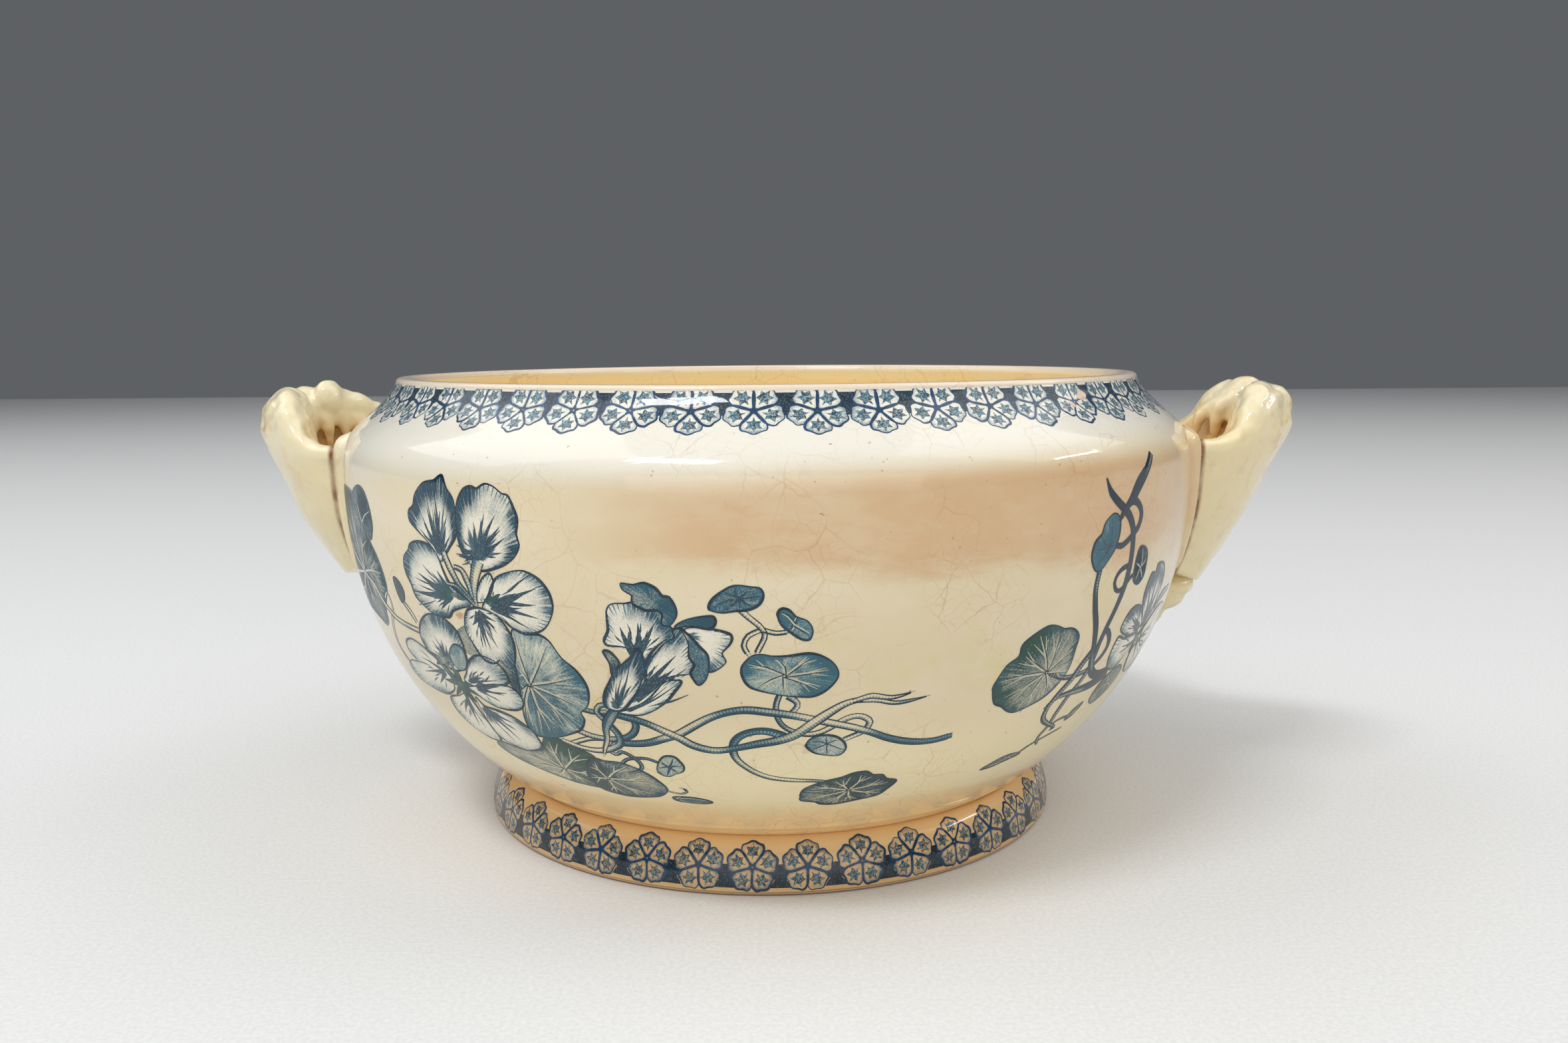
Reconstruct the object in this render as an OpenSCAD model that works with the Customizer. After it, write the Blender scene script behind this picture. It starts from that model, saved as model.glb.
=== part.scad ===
// Serving tureen base: a round footed bowl with two hollow moulded handles, without its lid.
// Origin: centre of the foot's flat underside. +Z is up, the handles are along X.

/* [Bowl] */
// Outer radius of the mouth
rim_r = 110; // [106:0.5:113]
// Outer radius at the shoulder, the widest part of the body
body_r = 125.5; // [122:0.5:129]
// Height of the lip's flat crown
rim_z = 131; // [130:0.5:133]
// Height at which the body is widest
widest_z = 103; // [101:0.5:104]
// Thickness of the wall
wall = 5; // [4:0.5:6]
// Height of the inside floor at the centre
floor_z = 11; // [10:0.5:12]

/* [Foot] */
// Outer radius of the foot ring
foot_r = 87.2; // [86:0.1:89]
// Inner radius of the foot ring's hollow
hollow_r = 75; // [73:0.5:76]
// Depth of the hollow under the foot
hollow_depth = 5.5; // [4:0.5:6]

/* [Handles] */
// Furthest reach of a handle from the centre
handle_reach = 159.5; // [156:0.5:164]
// Half of a handle's width where it meets its backplate
root_half = 33; // [30:0.5:35]
// Thickness of a strap along its top edge
strap_t = 6.5; // [5:0.5:8]
// How far a backplate stands out from the body
plate_t = 3; // [2.5:0.5:4]

/* [Hidden] */
$fn = 96;
steps = 13;

cream = [0.93, 0.87, 0.72];
peach = [0.91, 0.79, 0.60];
ivory = [0.95, 0.90, 0.78];

// The belly is a superellipse in section, from the widest height down to the foot.
belly_depth = 114;
belly_power = 2.15;
// The body is four rings, stacked face to face: base, belly, shoulder and neck.
base_top = 20;
belly_top = 60;
// Where the neck's curve leaves the shoulder, and the pull of its two inner control points.
neck_z = widest_z + 5;
neck_pull_out = [body_r, rim_z - 12];
neck_pull_in = [rim_r + 5, rim_z - 11.5];
lip_round = 1.2;
lip_w = 4.8;
// Where the body ends inside the foot ring.
seat_r = hollow_r;

// Radius of a superellipse of revolution at height z.
function belly_r(z, r, depth) = r * sqrt(1 - pow((widest_z - z) / depth, belly_power));
// Height of that surface at radius q, below the widest part.
function belly_z(q, r, depth) = widest_z - depth * pow(1 - pow(q / r, 2), 1 / belly_power);
// A point on the cubic curve through the four control points a, b, c, d.
function curve(a, b, c, d, t) =
    pow(1 - t, 3) * a + 3 * t * pow(1 - t, 2) * b + 3 * t * t * (1 - t) * c + t * t * t * d;

// Section of the belly between two heights, as points.
function belly(r, depth, z0, z1) =
    [for (i = [0:steps]) let (z = z0 + (z1 - z0) * i / steps) [belly_r(z, r, depth), z]];
// Section of the neck, from the shoulder up to the lip, moved in by the distance back.
function neck(back) = [for (i = [1:steps])
    curve([body_r - back, neck_z], neck_pull_out - [back, back * 0.3],
        neck_pull_in - [back, back * 0.45], [rim_r - back, rim_z - lip_round], i / steps)];
// Points of a rounded corner about centre c, from angle a0 to a1.
function corner(c, r, a0, a1) =
    [for (i = [0:6]) let (a = a0 + (a1 - a0) * i / 6) c + r * [cos(a), sin(a)]];
function reversed(list) = [for (i = [len(list) - 1:-1:0]) list[i]];

// The outside and the inside of the body's wall between two heights.
inner_depth = belly_depth - wall;
function outside(z0, z1) = belly(body_r, belly_depth, z0, z1);
function inside(z0, z1) = belly(body_r - wall, inner_depth, z0, z1);
function ring(z0, z1) = concat(outside(z0, z1), reversed(inside(z0, z1)));

// The base: the floor, with the turn of the wall round it.
floor_edge_r = 70;
floor_edge_z = belly_z(floor_edge_r, body_r - wall, inner_depth) + 0.6;
seat_z = belly_z(seat_r, body_r, belly_depth);
module base() {
    color(cream) rotate_extrude() polygon(concat(
        [[0, hollow_depth], [seat_r, hollow_depth]],
        outside(seat_z, base_top),
        reversed(inside(floor_edge_z, base_top)),
        [[floor_edge_r - 8, floor_z + 1.2], [floor_edge_r - 26, floor_z + 0.3], [0, floor_z]]));
}

module body_belly() {
    color(cream) rotate_extrude() polygon(ring(base_top, belly_top));
}

module shoulder() {
    color(cream) rotate_extrude() polygon(concat(
        outside(belly_top, widest_z),
        [[body_r, neck_z], [body_r - wall, neck_z]],
        reversed(inside(belly_top, widest_z))));
}

// The neck: a hollow curve in to the mouth, with a plain rounded lip.
module body_neck() {
    color(cream) rotate_extrude() polygon(concat(
        [[body_r, neck_z]],
        neck(0),
        corner([rim_r - lip_round, rim_z - lip_round], lip_round, 0, 90),
        corner([rim_r - lip_w + lip_round, rim_z - lip_round], lip_round, 90, 180),
        reversed(neck(wall)),
        [[body_r - wall, neck_z]]));
}

// A solid of revolution that fills the body's outside form, grown by the distance out.
module body_form(out) {
    whole = concat(
        outside(seat_z, base_top),
        outside(base_top, belly_top),
        outside(belly_top, widest_z),
        [[body_r, neck_z]],
        neck(0));
    rotate_extrude() polygon(concat(
        [[0, hollow_depth]],
        [for (p = whole) p + [out, 0]],
        [[0, rim_z]]));
}

// The foot ring: an elliptical bullnose outside, tucked under the belly.
crease_r = 80.4;
crease_z = belly_z(crease_r, body_r, belly_depth);
edge_round = 1.4;
module foot() {
    rise = [for (i = [1:14]) let (a = 6 + 84 * i / 14)
        [crease_r + (foot_r - crease_r) * cos(a), crease_z * sin(a)]];
    under = [for (i = [3:-1:0]) let (q = seat_r + (crease_r - seat_r) * i / 4)
        [q, belly_z(q, body_r, belly_depth)]];
    color(peach) rotate_extrude() polygon(concat(
        [[hollow_r + 2.2, 0]],
        corner([foot_r - edge_round, edge_round], edge_round, -90, 0),
        rise,
        under,
        [[seat_r, hollow_depth], [hollow_r + 0.5, 2]]));
}

// Handles. Every solid is drawn for the +X side. Heights and half-widths are tables of
// height against distance, read between their rows.
strap_foot_z = 71.5;
strap_foot_slope = -0.38;
strap_root_x = 114;
apex_table = [[62, 134.6], [66, 134.6], [74, 139.5], [86, 146], [100, 152.8],
    [112, 158], [117, handle_reach], [123, 158], [130, 150]];
half_table = [[62, 12], [72, 17], [80, 22], [90, 27], [100, 31], [110, root_half], [130, root_half]];
top_table = [[0, 111.5], [0.3, 113.5], [0.5, 118], [0.7, 124.5], [0.85, 128.6], [0.93, 128.6], [1, 126.4]];
side_power = 1.6;
pocket_floor = 84;
pocket_full = 106;
apex_t = 9;
columns = 12;
rows = 11;

// Plan position, on a strap's outer face, at turn s from its root (0) to the apex (1), height z.
function strap_out(s, z) = [
    strap_root_x + (lookup(z, apex_table) - strap_root_x) * sin(90 * s),
    lookup(z, half_table) * pow(max(cos(90 * s), 0), side_power)];
// How open the pocket is at height z, from 0 at its floor to 1.
function pocket(z) = sqrt(min(max((z - pocket_floor) / (pocket_full - pocket_floor), 0), 1));
function strap_in(s, z) = let (open = pocket(z)) [
    strap_root_x + (lookup(z, apex_table) - strap_root_x - apex_t - (1 - open) * 14) * sin(90 * s),
    max(lookup(z, half_table) - strap_t, 0) * open * pow(max(cos(90 * s), 0), side_power)];
// Height of row v (0 at the foot, 1 at the top edge) at turn s.
function strap_z(s, v) =
    let (x0 = strap_out(s, 66)[0], low = strap_foot_z + strap_foot_slope * (x0 - 118))
    low + (lookup(s, top_table) - low) * v;
function strap_row(v) = concat(
    [for (i = [0:columns]) let (s = i / columns, z = strap_z(s, v)) concat(strap_out(s, z), [z])],
    [for (i = [columns:-1:0]) let (s = i / columns, z = strap_z(s, v))
        concat(strap_in(s, z), [z - (v == 1 ? 0.8 : 0)])]);

module strap() {
    ring = 2 * (columns + 1);
    points = [for (j = [0:rows]) each strap_row(j / rows)];
    sides = [for (j = [0:rows - 1], i = [0:ring - 1]) each
        let (a = j * ring + i, b = j * ring + (i + 1) % ring)
        [[a, b, a + ring], [b, b + ring, a + ring]]];
    foot_cap = [for (i = [0:columns - 1]) each
        let (a = i, b = i + 1, c = ring - 2 - i, d = ring - 1 - i)
        [[a, c, b], [a, d, c]]];
    top_cap = [for (f = foot_cap) [for (k = [2:-1:0]) f[k] + rows * ring]];
    polyhedron(points, [for (f = concat(sides, foot_cap, top_cap)) [f[2], f[1], f[0]]]);
}

module handle_side(left) {
    mirror([left ? 1 : 0, 0, 0]) children();
}

module strap_piece(back) {
    color(ivory) difference() {
        mirror([0, back ? 0 : 1, 0]) strap();
        body_form(plate_t);
    }
}

// The backplate: a flat moulding between the handle and the body, narrowing downwards.
plate_top_z = 115;
plate_top_half = 39;
plate_foot_half = 21;
plate_corner = 9;
module backplate() {
    color(cream) difference() {
        intersection() {
            body_form(plate_t);
            translate([100, 0, 0]) rotate([90, 0, 90]) linear_extrude(40) hull() {
                for (side = [-1, 1]) {
                    translate([side * (plate_top_half - plate_corner), plate_top_z - plate_corner])
                        circle(plate_corner, $fn = 32);
                    translate([side * (plate_foot_half - plate_corner), strap_foot_z + plate_corner])
                        circle(plate_corner, $fn = 32);
                }
            }
        }
        body_form(0);
    }
}

// The leaf: a small bud that closes the handle's lower end against the body.
module leaf() {
    color(ivory) difference() {
        hull() {
            translate([124, 0, 66]) scale([1, 1.5, 1]) sphere(9, $fn = 32);
            translate([118.5, 0, 57]) scale([1, 1.6, 1]) sphere(5.6, $fn = 32);
            translate([117, -7, 62]) sphere(4.5, $fn = 24);
            translate([117, 7, 62]) sphere(4.5, $fn = 24);
        }
        translate([118, 0, strap_foot_z]) rotate([0, atan(-strap_foot_slope), 0])
            translate([-30, -30, 0]) cube([80, 60, 30]);
        body_form(0);
    }
}

base();
body_belly();  // belly
shoulder();
body_neck();  // neck
foot();
handle_side(false) strap_piece(false);  // right_front_strap
handle_side(false) strap_piece(true);  // right_back_strap
handle_side(false) backplate();  // right_backplate
handle_side(false) leaf();  // right_leaf
handle_side(true) strap_piece(false);  // left_front_strap
handle_side(true) strap_piece(true);  // left_back_strap
handle_side(true) backplate();  // left_backplate
handle_side(true) leaf();  // left_leaf
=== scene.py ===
"""The looks of a lidless soup tureen base: cream crazed glaze with a blue-grey floral print.

Lengths are written in millimetres and turned to metres where a mesh is made. A place on the
bowl's outside is (turn, climb): turn is the angle in degrees from the front (-Y) towards +X,
and climb is the length along the profile, in mm, up from the crease above the foot.
"""
import math
import random

import bpy
import numpy as np
from mathutils import Euler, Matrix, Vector, noise


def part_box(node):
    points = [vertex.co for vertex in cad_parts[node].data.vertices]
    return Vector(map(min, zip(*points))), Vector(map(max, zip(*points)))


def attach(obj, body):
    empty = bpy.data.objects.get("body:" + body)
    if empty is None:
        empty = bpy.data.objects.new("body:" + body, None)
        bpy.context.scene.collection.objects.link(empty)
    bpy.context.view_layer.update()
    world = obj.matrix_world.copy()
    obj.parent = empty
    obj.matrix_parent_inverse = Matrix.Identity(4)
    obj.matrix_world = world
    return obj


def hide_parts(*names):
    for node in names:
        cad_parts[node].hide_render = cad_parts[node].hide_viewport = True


MM = 0.001
SEED = 1890
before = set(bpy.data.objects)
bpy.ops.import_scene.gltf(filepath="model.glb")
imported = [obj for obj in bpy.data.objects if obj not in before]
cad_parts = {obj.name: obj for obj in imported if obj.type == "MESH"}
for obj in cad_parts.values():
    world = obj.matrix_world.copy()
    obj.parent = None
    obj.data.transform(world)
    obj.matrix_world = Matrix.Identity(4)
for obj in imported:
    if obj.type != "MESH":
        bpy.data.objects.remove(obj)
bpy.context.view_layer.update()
scene = bpy.context.scene

# ---------------------------------------------------------------- sizes from the frame, in mm
body_high = Vector(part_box("neck")[1]) / MM
base_low = Vector(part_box("base")[0]) / MM
foot_high = Vector(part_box("foot")[1]) / MM
BODY_R = body_high.x
RIM_Z = body_high.z
FOOT_R = foot_high.x
WALL = 5.0
RIM_R = BODY_R - 15.5
WIDEST_Z = RIM_Z - 28
NECK_Z = WIDEST_Z + 5
BELLY_DEPTH = 114.0
BELLY_POWER = 2.15
LIP_ROUND = 1.3
LIP_W = 4.8
CREASE_R = FOOT_R - 6.8
HOLLOW_R = 75.0
HOLLOW_DEPTH = base_low.z
FLOOR_Z = 11.0


# ---------------------------------------------------------------- the bowl's profile
def belly_r(z, r=BODY_R, depth=BELLY_DEPTH):
    """Radius of the belly at height z."""
    return r * np.sqrt(1 - (np.maximum(WIDEST_Z - z, 0) / depth) ** BELLY_POWER)


def belly_z(q, r=BODY_R, depth=BELLY_DEPTH):
    """Height of the belly at radius q."""
    return WIDEST_Z - depth * (1 - (q / r) ** 2) ** (1 / BELLY_POWER)


def bezier(a, b, c, d, steps):
    """Points on a cubic curve, without its first."""
    t = (np.arange(steps) + 1)[:, None] / steps
    a, b, c, d = (np.array(p, float) for p in (a, b, c, d))
    return (1 - t) ** 3 * a + 3 * t * (1 - t) ** 2 * b + 3 * t * t * (1 - t) * c + t ** 3 * d


def neck(back, steps):
    """The neck's curve from the shoulder to the lip, moved in by the distance back."""
    return bezier((BODY_R - back, NECK_Z), (BODY_R - back, RIM_Z - 12 - back * 0.3),
                  (RIM_R + 5 - back, RIM_Z - 11.5 - back * 0.45),
                  (RIM_R - back, RIM_Z - LIP_ROUND), steps)


def arc(centre, r, start, end, steps):
    """Points of an arc, angles in degrees."""
    a = np.radians(np.linspace(start, end, steps))
    return np.stack([centre[0] + r * np.cos(a), centre[1] + r * np.sin(a)], 1)


def belly(z0, z1, steps, back=0.0):
    """Points of the belly between two heights."""
    z = np.linspace(z0, z1, steps)
    return np.stack([belly_r(z, BODY_R - back, BELLY_DEPTH - back), z], 1)


def between(a, b, c, d, t):
    """The point at share t from b to c, on a smooth line through four points."""
    return 0.5 * (2 * b + (c - a) * t + (2 * a - 5 * b + 4 * c - d) * t * t
                  + (3 * b - a - 3 * c + d) * t ** 3)


def lengths(curve):
    """The length along a curve at each of its points."""
    return np.concatenate([[0], np.cumsum(np.hypot(*np.diff(curve, axis=0).T))])


CREASE_Z = belly_z(CREASE_R)
BELLY_STEPS = 160
OUTSIDE = np.concatenate([belly(CREASE_Z, WIDEST_Z, BELLY_STEPS), [[BODY_R, NECK_Z]], neck(0, 60)])
CLIMB = lengths(OUTSIDE)
# A faint turned ridge just above the foot.
OUTSIDE[:, 0] += 0.4 * np.exp(-((CLIMB - 6) / 0.9) ** 2)
TOP_CLIMB = CLIMB[-1]


def on_curve(curve, run, at, step, sense):
    """Radius, height and outward slope (radial, vertical) of a curve at a length along it."""
    def read(place):
        return np.array([np.interp(place, run, curve[:, i]) for i in (0, 1)])
    r, z = read(at)
    dr, dz = read(at + step) - read(at - step)
    length = np.maximum(np.hypot(dr, dz), 1e-6)
    return r, z, sense * dz / length, -sense * dr / length


def profile_at(climb):
    """The outside of the bowl at a climb."""
    return on_curve(OUTSIDE, CLIMB, climb, 0.6, 1)


def outside_r(z):
    """Radius of the bowl's outside at any height above the crease."""
    above = np.interp(z, OUTSIDE[BELLY_STEPS - 1:, 1], OUTSIDE[BELLY_STEPS - 1:, 0])
    return np.where(z > WIDEST_Z, above, belly_r(np.minimum(z, WIDEST_Z)))


FOOT_ARC = np.radians(np.linspace(90, 4, 50))
FOOT_OUT = np.concatenate([
    np.stack([CREASE_R + (FOOT_R - CREASE_R) * np.cos(FOOT_ARC), CREASE_Z * np.sin(FOOT_ARC)], 1),
    arc((FOOT_R - 1.4, 1.4), 1.4, -12, -90, 8)])
FOOT_DOWN = lengths(FOOT_OUT)


def foot_at(down):
    """The outside of the foot at a length down from the crease."""
    return on_curve(FOOT_OUT, FOOT_DOWN, down, 0.5, -1)


def wobble(turn, z):
    """Hand-turned unevenness of the radius, in mm."""
    a = np.radians(turn)
    return 0.22 * np.sin(2 * a + 0.7) * np.sin(z / 50) + 0.1 * np.sin(3 * a + z / 30)


def place(turn, r, z, nr, nz, lift):
    """World positions and normals of surface points, lifted off the surface."""
    a = np.radians(turn)
    q = r + wobble(turn, z) + nr * lift
    points = np.stack([q * np.sin(a), -q * np.cos(a), z + nz * lift], -1)
    normals = np.stack([nr * np.sin(a), -nr * np.cos(a), nz], -1)
    return points, normals


# ---------------------------------------------------------------- meshes
def make(name, points, faces, material, replaces=()):
    """A smooth mesh piece from points in mm."""
    mesh = bpy.data.meshes.new(name)
    mesh.from_pydata((np.asarray(points) * MM).tolist(), [], [tuple(f) for f in faces])
    mesh.validate()
    mesh.polygons.foreach_set("use_smooth", [True] * len(mesh.polygons))
    mesh.materials.append(material)
    piece = bpy.data.objects.new(name, mesh)
    scene.collection.objects.link(piece)
    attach(piece, "root")
    if replaces:
        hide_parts(*replaces)
    return piece


def set_attribute(piece, name, values):
    """A float on each point, for a material to read."""
    layer = piece.data.attributes.new(name, "FLOAT", "POINT")
    layer.data.foreach_set("value", np.asarray(values, np.float32))


def revolve(section, segments):
    """Points and faces of a closed section turned about Z. Points on the axis are kept apart by a hair."""
    turns = np.linspace(0, 360, segments, endpoint=False)
    n = len(section)
    points = []
    for turn in turns:
        a = math.radians(turn)
        r = section[:, 0] + wobble(turn, section[:, 1]) * np.clip(section[:, 0] / 40, 0, 1)
        points.append(np.stack([r * math.sin(a), -r * math.cos(a), section[:, 1]], 1))
    faces = []
    for k in range(segments):
        m = (k + 1) % segments
        for i in range(n):
            j = (i + 1) % n
            faces.append((k * n + i, m * n + i, m * n + j, k * n + j))
    return np.concatenate(points), faces


# ---------------------------------------------------------------- materials
class Value:
    """A number that a material works out at each place. Sums are written as for plain numbers."""

    def __init__(self, graph, socket):
        self.graph = graph
        self.socket = socket

    def __add__(self, other):
        return self.graph.math("ADD", self, other)

    def __sub__(self, other):
        return self.graph.math("SUBTRACT", self, other)

    def __mul__(self, other):
        return self.graph.math("MULTIPLY", self, other)

    def __pow__(self, other):
        return self.graph.math("POWER", self, other)

    def __abs__(self):
        return self.graph.math("ABSOLUTE", self)

    def clamped(self):
        """The same sum, kept between 0 and 1."""
        self.socket.node.use_clamp = True
        return self

    def step(self, low, high, out_low=0.0, out_high=1.0):
        """Smooth change from out_low to out_high as this goes from low to high."""
        node = self.graph.add("ShaderNodeMapRange", {
            "Value": self, "From Min": low, "From Max": high, "To Min": out_low, "To Max": out_high},
            interpolation_type="SMOOTHSTEP")
        return Value(self.graph, node.outputs["Result"])


class Graph:
    """A material's node tree, built by short calls."""

    def __init__(self, name):
        self.material = bpy.data.materials.new(name)
        self.material.use_nodes = True
        self.nodes = self.material.node_tree.nodes
        self.links = self.material.node_tree.links
        self.nodes.clear()
        self.place = self.add("ShaderNodeTexCoord").outputs["Object"]

    def add(self, kind, inputs=None, **settings):
        node = self.nodes.new(kind)
        for key, value in settings.items():
            setattr(node, key, value)
        for key, value in (inputs or {}).items():
            value = value.socket if isinstance(value, Value) else value
            if isinstance(value, bpy.types.NodeSocket):
                self.links.new(value, node.inputs[key])
            else:
                node.inputs[key].default_value = value
        return node

    def math(self, kind, *values):
        node = self.add("ShaderNodeMath", dict(enumerate(values)), operation=kind)
        return Value(self, node.outputs[0])

    def mix(self, factor, a, b):
        return self.add("ShaderNodeMix", {0: factor, 6: a, 7: b}, data_type="RGBA").outputs[2]

    def noise(self, per_m, detail=3.0, rough=0.55, stretch=(1, 1, 1)):
        mapping = self.add("ShaderNodeMapping", {"Vector": self.place, "Scale": stretch})
        node = self.add("ShaderNodeTexNoise", {"Vector": mapping.outputs[0], "Scale": per_m,
                                               "Detail": detail, "Roughness": rough})
        return Value(self, node.outputs["Fac"])

    def cell_edge(self, vector, per_m):
        """How far each place is from the nearest border between random cells."""
        node = self.add("ShaderNodeTexVoronoi", {"Vector": vector, "Scale": per_m},
                        feature="DISTANCE_TO_EDGE")
        return Value(self, node.outputs["Distance"])

    def attribute(self, name):
        return Value(self, self.add("ShaderNodeAttribute", attribute_name=name).outputs["Fac"])

    def axes(self, vector=None):
        """The three parts of a vector, or of the place on the object."""
        node = self.add("ShaderNodeSeparateXYZ", {0: vector or self.place})
        return [Value(self, part) for part in node.outputs]

    def finish(self, colour, height, bump=0.1, rough=0.3, coat=0.72):
        """A glazed surface: a soft base under a thin clear coat, both with the same bumps."""
        shader = self.add("ShaderNodeBsdfPrincipled", {
            "Base Color": colour, "Roughness": rough, "Coat Weight": coat,
            "Coat Roughness": 0.04, "Coat IOR": 1.5, "IOR": 1.45, "Specular IOR Level": 0.12})
        node = self.add("ShaderNodeBump", {"Height": height, "Strength": bump, "Distance": 0.001})
        self.links.new(node.outputs[0], shader.inputs["Normal"])
        self.links.new(node.outputs[0], shader.inputs["Coat Normal"])
        out = self.add("ShaderNodeOutputMaterial")
        self.links.new(shader.outputs[0], out.inputs[0])
        return self.material


CREAM = (0.76, 0.645, 0.425, 1)
PALE = (0.80, 0.70, 0.50, 1)
# A whiter tone painted on the neck as a reflection of the sky.
SHEEN_WHITE = (0.79, 0.77, 0.695, 1)
# A lighter yellow painted low on the belly as light bounced up from the floor.
STRAW = (0.86, 0.75, 0.45, 1)
PEACH = (0.645, 0.405, 0.215, 1)
# Amber: pooled glaze and painted shade in the handle's pocket, painted shade on the right-hand backplate.
AMBER = (0.78, 0.54, 0.25, 1)
HONEY = (1.0, 0.80, 0.44, 1)
BUTTER = (0.98, 0.86, 0.58, 1)
BLUSH = (0.84, 0.62, 0.42, 1)
OLIVE = (0.66, 0.60, 0.22, 1)
MILK = (0.86, 0.825, 0.71, 1)
# Biscuit brown round the foot: a real stain, made bright as painted bounce light.
BISCUIT = (0.95, 0.65, 0.32, 1)
# The foot lip's brown: a real stain, darkened as painted shade.
TOAST = (0.66, 0.43, 0.20, 1)
IVORY = (0.86, 0.745, 0.44, 1)
BROWN = (0.20, 0.075, 0.02, 1)
INK = (0.003, 0.018, 0.034, 1)
INK_DEEP = (0.005, 0.036, 0.046, 1)
INK_MID = (0.024, 0.108, 0.150, 1)
INK_PALE = (0.088, 0.235, 0.262, 1)
INK_GREEN = (0.005, 0.058, 0.040, 1)
INK_BLUE = (0.006, 0.038, 0.070, 1)
INK_TEAL = (0.030, 0.150, 0.225, 1)
INK_BLOCK = (0.004, 0.034, 0.062, 1)
INK_ROYAL = (0.014, 0.062, 0.165, 1)
INK_NAVY = (0.008, 0.040, 0.095, 1)
INK_DARK = (0.013, 0.068, 0.102, 1)
INK_STEM = (0.034, 0.142, 0.192, 1)
CRAZE = (0.45, 0.22, 0.09, 1)
BAND_BROWN = (0.45, 0.25, 0.12, 1)
# Orange-brown of the small spots: flaked stains on the petals, painted reflections on the rim.
SPOT_ORANGE = (0.62, 0.40, 0.22, 1)
SPOT_BROWN = (0.42, 0.16, 0.05, 1)


def warm_stain(x, z, leaning, ragged, streak, cloud, age):
    """How strong the stain is: a belt under the shoulder that deepens to the right, and patches."""
    belt = (ragged + x * 0.06).step(0.0880, 0.0960) * leaning.step(0.1160, 0.1065)
    side = x.step(-0.055, -0.005) * streak.step(0.34, 0.58, 0.66, 1.0)
    patch = streak.step(0.52, 0.72) * cloud.step(0.45, 0.7)
    stain = (belt * side * 0.80 + patch * 0.20).clamped()
    return stain * (z.step(0.116, 0.110, 0.25, 1.0) * age)


def smudges(g, z, age):
    """Faint olive smudges on the middle of the belly."""
    zone = z.step(0.045, 0.058) * z.step(0.090, 0.078)
    return g.noise(40, 3, 0.6, (1, 1, 1.4)).step(0.56, 0.70) * 0.30 * zone * age


def lining(g, colour, z, cloud, inside):
    """The warmer yellow inside, and a blush on the lip."""
    yellow = g.mix(cloud.step(0.3, 0.7), HONEY, BUTTER)
    colour = g.mix(z.step(0.1293, 0.1303) * 0.5, colour, BLUSH)
    return g.mix(inside * z.step(0.1308, 0.1296), colour, yellow)


def crazing(g):
    """Thin brown lines, stronger in patches: how strong they are, and the larger of them alone."""
    warp = g.add("ShaderNodeTexNoise", {"Vector": g.place, "Scale": 90.0, "Detail": 2.0})
    bend = g.add("ShaderNodeVectorMath", {0: warp.outputs["Color"], 1: (0.006, 0.006, 0.006),
                                          2: g.place}, operation="MULTIPLY_ADD").outputs[0]
    big_line = g.cell_edge(bend, 95.0).step(0.022, 0.004)
    fine_line = g.cell_edge(bend, 260.0).step(0.035, 0.006)
    patchy = g.noise(42, 2).step(0.40, 0.66)
    return big_line * patchy * 0.26 + fine_line * patchy * 0.17, big_line


def glaze_colour(g, inside=None, pale=0.0):
    """The cream glaze: warm stains, brown crazing and specks, by place on the object, with painted
    reflection on the neck and painted bounce light low on the belly and round the foot.
    """
    x, _, z = g.axes()
    age = 1.0 - pale
    cloud = g.noise(16, 4, 0.6, (1, 1, 2.4))
    streak = g.noise(34, 5, 0.66, (1, 1, 2.6))
    ragged = z + (streak - 0.5) * 0.016
    leaning = z + x * -0.035
    colour = g.mix(cloud.step(0.40, 0.68), CREAM, PALE)
    # Painted reflection: the neck is whiter, as if it mirrored the bright sky above.
    colour = g.mix(leaning.step(0.1080, 0.1175, 0.0, 0.85), colour, SHEEN_WHITE)
    # Painted bounce light: the low part of the belly is a clearer, lighter yellow.
    colour = g.mix(z.step(0.060, 0.034, 0.0, 0.75), colour, STRAW)
    colour = g.mix(warm_stain(x, z, leaning, ragged, streak, cloud, age), colour, PEACH)
    colour = g.mix(smudges(g, z, age), colour, OLIVE)
    # Round the foot joint the glaze has gone biscuit brown; the colour is also painted bounce light, kept
    # bright where the crease lies in shade.
    colour = g.mix(ragged.step(0.032, 0.021) * 0.82 * age, colour, BISCUIT)
    if inside is not None:
        colour = lining(g, colour, z, cloud, inside)
    lines, big_line = crazing(g)
    colour = g.mix(lines, colour, CRAZE)
    colour = g.mix(g.noise(700, 1, 0.4).step(0.765, 0.80) * 0.45, colour, BROWN)
    return colour, g.noise(55, 2, 0.4, (1, 1, 2.2)) - big_line * 0.06


def foot_stain_and_shade(g, colour):
    """The foot is browner, partly a real stain: darker on its rounded lip as painted shade, lighter at its
    top as painted bounce light.
    """
    z = g.axes()[2]
    return g.mix(0.85, colour, g.mix(z.step(0.006, 0.015), TOAST, BISCUIT))


def foot_with_dark_band(g, colour):
    """The foot's tone, and a dark brown band at the very bottom, where it stands."""
    z = g.axes()[2]
    return g.mix(z.step(0.0009, 0.0002), foot_stain_and_shade(g, colour), BAND_BROWN)


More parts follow.
